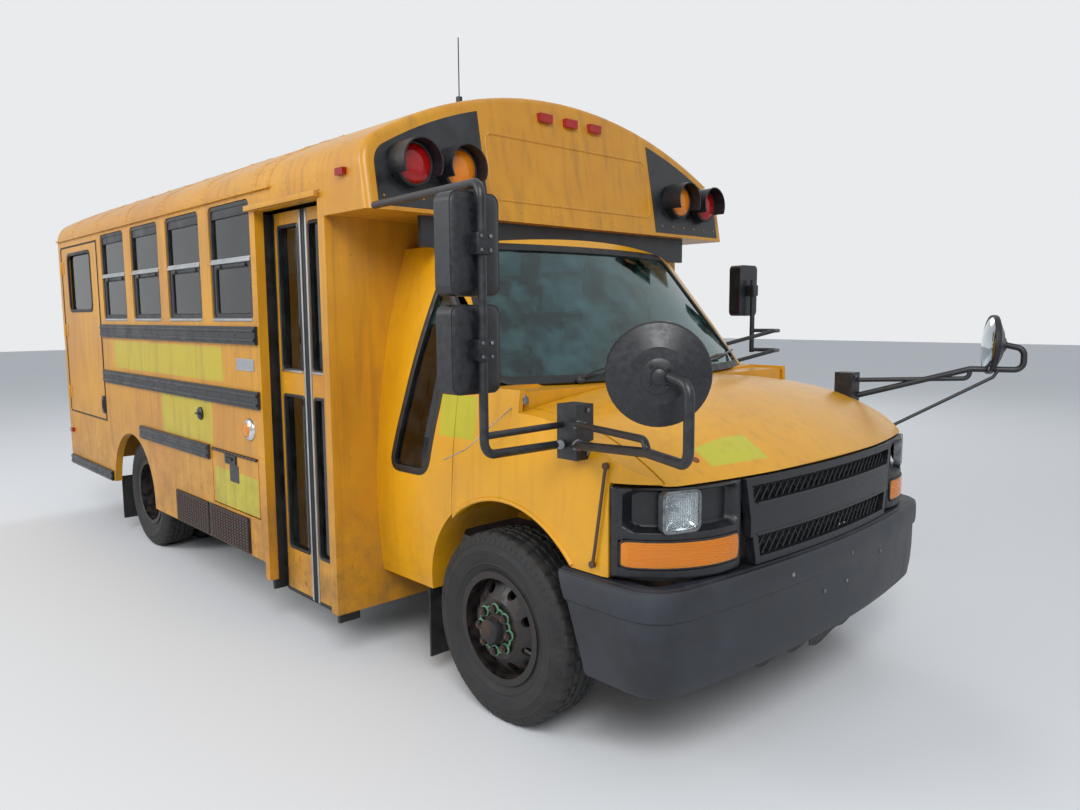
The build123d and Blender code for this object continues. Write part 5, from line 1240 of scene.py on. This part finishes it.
hinge = Piece("battery_door_hinge", "battery_door", "black_moulding")
hinge.turned((-120, -1194, 850), (1, 0, 0), ((5, 0), (6, 1), (6, 564), (5, 565)), 12)
knuckles = Piece("battery_door_hinge_knuckles", "battery_door", "rusty_steel")
for x in spread(-112, 412, 42):
    knuckles.turned((x, -1194, 850), (1, 0, 0), ((7.4, 0), (7.8, 1), (7.8, 20), (7.4, 21)), 12)
latch = Piece("battery_door_latches", "battery_door", "black_moulding")
latch.plate(rounded(150, 58, 10, (122, 818)), RIGHT, 5, 2)
latch.rim((136, 46, 8), (84, 26, 6), RIGHT, 3, 9, 2, (122, 818))
latch.block(RIGHT(92, 812, 3), RIGHT(150, 826, 12), 3)
blank = Piece("battery_door_blank", "battery_door", "black_enamel")
blank.plate(rounded(112, 92, 6, (158, 745)), RIGHT, 1.5)

# ------------------------------------------------------------------ blank plate, side lamp, fuel cap and louvres
plate = Piece("blank_side_plate", "bus", "bright_aluminium")
plate.plate(rounded(206, 60, 5, (355, 1325)), RIGHT, 2)
plate.rim((206, 60, 5), (192, 46, 4), RIGHT, 1, 4, 1, (355, 1325))
plate.domes([RIGHT(x, z, 2) for x in (262, 448) for z in (1304, 1346)], OUT_RIGHT, 4)
lamp = Piece("side_lamp_shell", "bus", "chrome")
lamp.turned((375, -1189, 1000), OUT_RIGHT, ((58, 0), (58, 5), (52, 13), (42, 20), (38, 21), (38, 12), (0, 12)), 36)
lens = Piece("side_lamp_lens", "bus", "amber_lens")
lens.turned((375, -1199, 1000), OUT_RIGHT, ((38, 0), (37, 10), (30, 15), (16, 18), (0, 19)), 30)
cap = Piece("fuel_cap", "bus", "black_moulding")
cap.turned((-258, -1189, 1030), OUT_RIGHT, ((36, 0), (36, 8), (32, 13), (20, 16), (0, 17)), 28)
cap.block((-284, -1216, 1025), (-232, -1202, 1035), 3)
louvres = Piece("skirt_louvre_slots", "bus", "rusty_louvre")
panel = on_side(-1, 1199.5)
for x0, x1 in ((-684, -206), (-166, 312)):
    for x in spread(x0 + 16, x1 - 16, 34):
        for z in spread(366, 518, 15.2):
            lip = ((z - 5, 0), (z - 4.5, 5.5), (z - 2.5, 5.5), (z + 5, 0))
            ends = [louvres.row([panel(end, up, out) for up, out in lip]) for end in (x - 12, x + 12)]
            louvres.loft(ends, capped=True)
    louvres.rim((x1 - x0 + 8, 184, 8), (x1 - x0 - 8, 168, 5), panel, 0, 3, 1, ((x0 + x1) / 2, 441.5))

# ------------------------------------------------------------------ stop arm
def on_arm(u, v, out):
    """Drawing on the stop blade's outer face."""
    return (818.5 + u, 1250 + out, 1311.5 + v)


def octagon(flat):
    """Outline of a regular octagon by the distance from its middle to a side."""
    corner, turns = flat / math.cos(math.pi / 8), [math.pi / 8 + k * math.pi / 4 for k in range(8)]
    return [(corner * math.cos(turn), corner * math.sin(turn)) for turn in turns]


border = Piece("stop_arm_border", "stop_arm", "white_enamel")
border.surround(octagon(221), octagon(206), on_arm, -0.5, 1.2)
lamps = Piece("stop_arm_lamps", "stop_arm", "red_lens")
bezels = Piece("stop_arm_lamp_rims", "stop_arm", "window_rubber")
for v in (-152, 152):
    lamps.turned(on_arm(0, v, 0), OUT_LEFT, ((41, 0), (40, 8), (32, 14), (16, 17), (0, 18)), 28)
    bezels.turned(on_arm(0, v, 0), OUT_LEFT, ((50, -1), (50, 5), (45, 8), (41, 6), (41, -1)), 28)

# ------------------------------------------------------------------ back of the bus
seals = Piece("rear_window_seals", "bus", "window_rubber")
for y in (-753, 753):
    seals.rim((444, 544, 50), (396, 496, 34), on_rear, -12, 5, 3, (y, 1790))
seals = Piece("emergency_door_seals", "emergency_door", "window_rubber")
for low, high in ((1020, 1420), (1530, 2030)):
    pane = high - low
    seals.rim((592, pane + 28, 46), (544, pane - 20, 32), on_rear, -12, 5, 3, (0, (low + high) / 2))
seals.rim((754, 1204, 22), (738, 1188, 16), on_rear, -8, 4, 2, (0, 1485))
iron = Piece("emergency_door_hinges", "emergency_door", "body_enamel")
for z in (1010, 1485, 1960):
    iron.turned((BODY_REAR - 6, -378, z - 60), (0, 0, 1), ((9, 0), (10, 2), (10, 118), (9, 120)), 14)
    iron.block((BODY_REAR - 4, -372, z - 56), (BODY_REAR + 1, -296, z + 56), 1)
    iron.domes([on_rear(y, up, 4) for y in (-352, -318) for up in (z - 36, z, z + 36)], OUT_REAR)
handle = Piece("emergency_door_handle", "emergency_door", "black_moulding")
handle.plate(rounded(56, 190, 14, (325, 1474)), on_rear, 8, 2)
handle.tube([on_rear(325, v, out) for v, out in ((1400, 6), (1408, 42), (1540, 42), (1548, 6))], 9)
for height, size, word in ((1250, 84, "red"), (1080, 84, "amber"), (900, 56, "clear")):
    lens = Piece(f"tail_lamp_lenses_{word}", "bus", f"{word}_lens")
    rim = Piece(f"tail_lamp_rims_{word}", "bus", "window_rubber")
    dome = ((size, 0), (size - 1, 5), (size * 0.9, 11), (size * 0.6, 17), (size * 0.3, 20), (0, 21))
    for y in (-960, 960):
        lens.turned(on_rear(y, height, 28), OUT_REAR, dome, 40)
        shape = ((size + 9, -2), (size + 9, 4), (size + 4, 7), (size, 5), (size, -2))
        rim.turned(on_rear(y, height, 28), OUT_REAR, shape, 40)
rivets = Piece("rear_wall_rivets", "bus", "body_enamel")
strips = Piece("rear_rub_strips", "bus", "black_enamel")
for side in (-1, 1):
    for y in (430, 1150):
        rivets.rivet_line(on_rear, OUT_REAR, (side * y, 640), (side * y, 2120), 66)
    for z in (1400, 2130, 640):
        rivets.rivet_line(on_rear, OUT_REAR, (side * 470, z), (side * 1110, z), 64)
    y0, y1 = sorted((side * 440, side * 858))
    for z in (1468, 1160):
        strips.block((BODY_REAR - 12, y0, z - 30), (BODY_REAR, y1, z + 30), 4)
rivets.rivet_line(on_rear, OUT_REAR, (-340, 2160), (340, 2160), 68)

# ------------------------------------------------------------------ left side: driver's door and fuel door
grip = Piece("driver_door_handle", "driver_door", "black_moulding")
skin = on_side(1, touch("driver_door", (1330, 1400, 1140), OUT_RIGHT)[0].y)
grip.plate(rounded(150, 52, 14, (1345, 1140)), skin, 6, 2)
grip.tube([skin(1285, 1146, 4), skin(1290, 1148, 26), skin(1395, 1148, 26), skin(1400, 1146, 4)], 9, flat=0.8)
filler = Piece("fuel_door", "bus", "body_enamel")
filler.plate(rounded(230, 230, 22, (360, 660)), LEFT, 5, 2)
filler.block((242, 1192, 560), (252, 1200, 760), 3)
knob = Piece("fuel_door_latch", "bus", "black_moulding")
knob.turned((450, 1194, 660), OUT_LEFT, ((16, 0), (16, 5), (12, 8), (0, 8)), 20)
sill = Piece("cab_steps", "bus", "black_moulding")
sill.block((1300, 850, 425), (1660, 985, 452), 6)
for x in spread(1330, 1630, 30):
    sill.block((x - 5, 880, 451), (x + 5, 980, 456), 1.5)

for piece in Piece.drawn:
    piece.close()


# ------------------------------------------------------------------ padded seats
def applied(obj):
    """Give an object the mesh that its modifiers make."""
    made = bpy.data.meshes.new_from_object(obj.evaluated_get(bpy.context.evaluated_depsgraph_get()))
    obj.modifiers.clear()
    obj.data = made


COVER_SLACK, CHANNEL_DEPTH = 0.024, 0.007


def swollen_seat(name, x, y, base, width, depth, back):
    """Seat whose cover swells over its foam: a cloth under pressure, from a slightly smaller block."""
    outline = (
        (x - 9, base + 9), (x - 9, base + 121), (x - depth + 119, base + 111), (x - depth + 11, base + back - 9),
        (x - depth - 59, base + back - 9), (x - depth + 9, base + 9),
    )
    form = bmesh.new()
    near, far = (
        [form.verts.new((px / 1000, (y + half) / 1000, pz / 1000)) for px, pz in outline]
        for half in (9 - width / 2, width / 2 - 9)
    )
    for i in range(len(outline)):
        j = (i + 1) % len(outline)
        form.faces.new((near[i], near[j], far[j], far[i]))
    form.faces.new(near)
    form.faces.new(far)
    bmesh.ops.recalc_face_normals(form, faces=form.faces)
    mesh = bpy.data.meshes.new(name)
    form.to_mesh(mesh)
    form.free()
    obj = bpy.data.objects.new(name, mesh)
    scene.collection.objects.link(obj)

    remesh = obj.modifiers.new("remesh", "REMESH")
    remesh.mode, remesh.voxel_size = "VOXEL", 0.018
    applied(obj)
    start = [v.co.copy() for v in obj.data.vertices]
    cloth = obj.modifiers.new("cloth", "CLOTH").settings
    cloth.use_pressure = True
    cloth.uniform_pressure_force = 4.0
    cloth.effector_weights.gravity = 0.0
    for step in range(1, 21):
        scene.frame_set(step)
    applied(obj)
    scene.frame_set(1)
    # the foam holds the cover near its block
    for vert, was in zip(obj.data.vertices, start):
        moved = vert.co - was
        if moved.length > COVER_SLACK:
            vert.co = was + moved.normalized() * COVER_SLACK
    finer = obj.modifiers.new("subsurf", "SUBSURF")
    finer.levels, finer.render_levels = 1, 1
    applied(obj)
    # sewn channels down the cushion and the back, and the seam between them
    normals = [v.normal.copy() for v in obj.data.vertices]
    for vert, away in zip(obj.data.vertices, normals):
        across = vert.co.y * 1000 - y
        sunk = max(math.exp(-((across - line) / 7.0) ** 2) for line in (-width * 0.32, 0.0, width * 0.32))
        edge = math.exp(-((abs(across) - width / 2 + 26) / 6.0) ** 2)
        vert.co -= away * CHANNEL_DEPTH * max(sunk, edge)
    obj.data.shade_smooth()
    return obj


bench = swollen_seat("bench_left_1", 457.5, 680.0, 1195.0, 880.0, 460.0, 640.0)
pads = [swollen_seat("driver_seat", 1457.5, 430.0, 900.0, 480.0, 500.0, 700.0), bench]
for word, row, across in (("left_2", 1, 0.0), ("left_3", 2, 0.0), ("right_1", 0, -1.36), ("right_2", 1, -1.36)):
    twin = bpy.data.objects.new(f"bench_{word}", bench.data.copy())
    scene.collection.objects.link(twin)
    twin.data.transform(Matrix.Translation((-0.76 * row, across, 0.0)))
    pads.append(twin)
for pad in pads:
    dress(pad, "seat_vinyl")
    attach(pad, "bus")
    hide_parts("seats")

# ------------------------------------------------------------------ size, and the end
low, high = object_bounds()
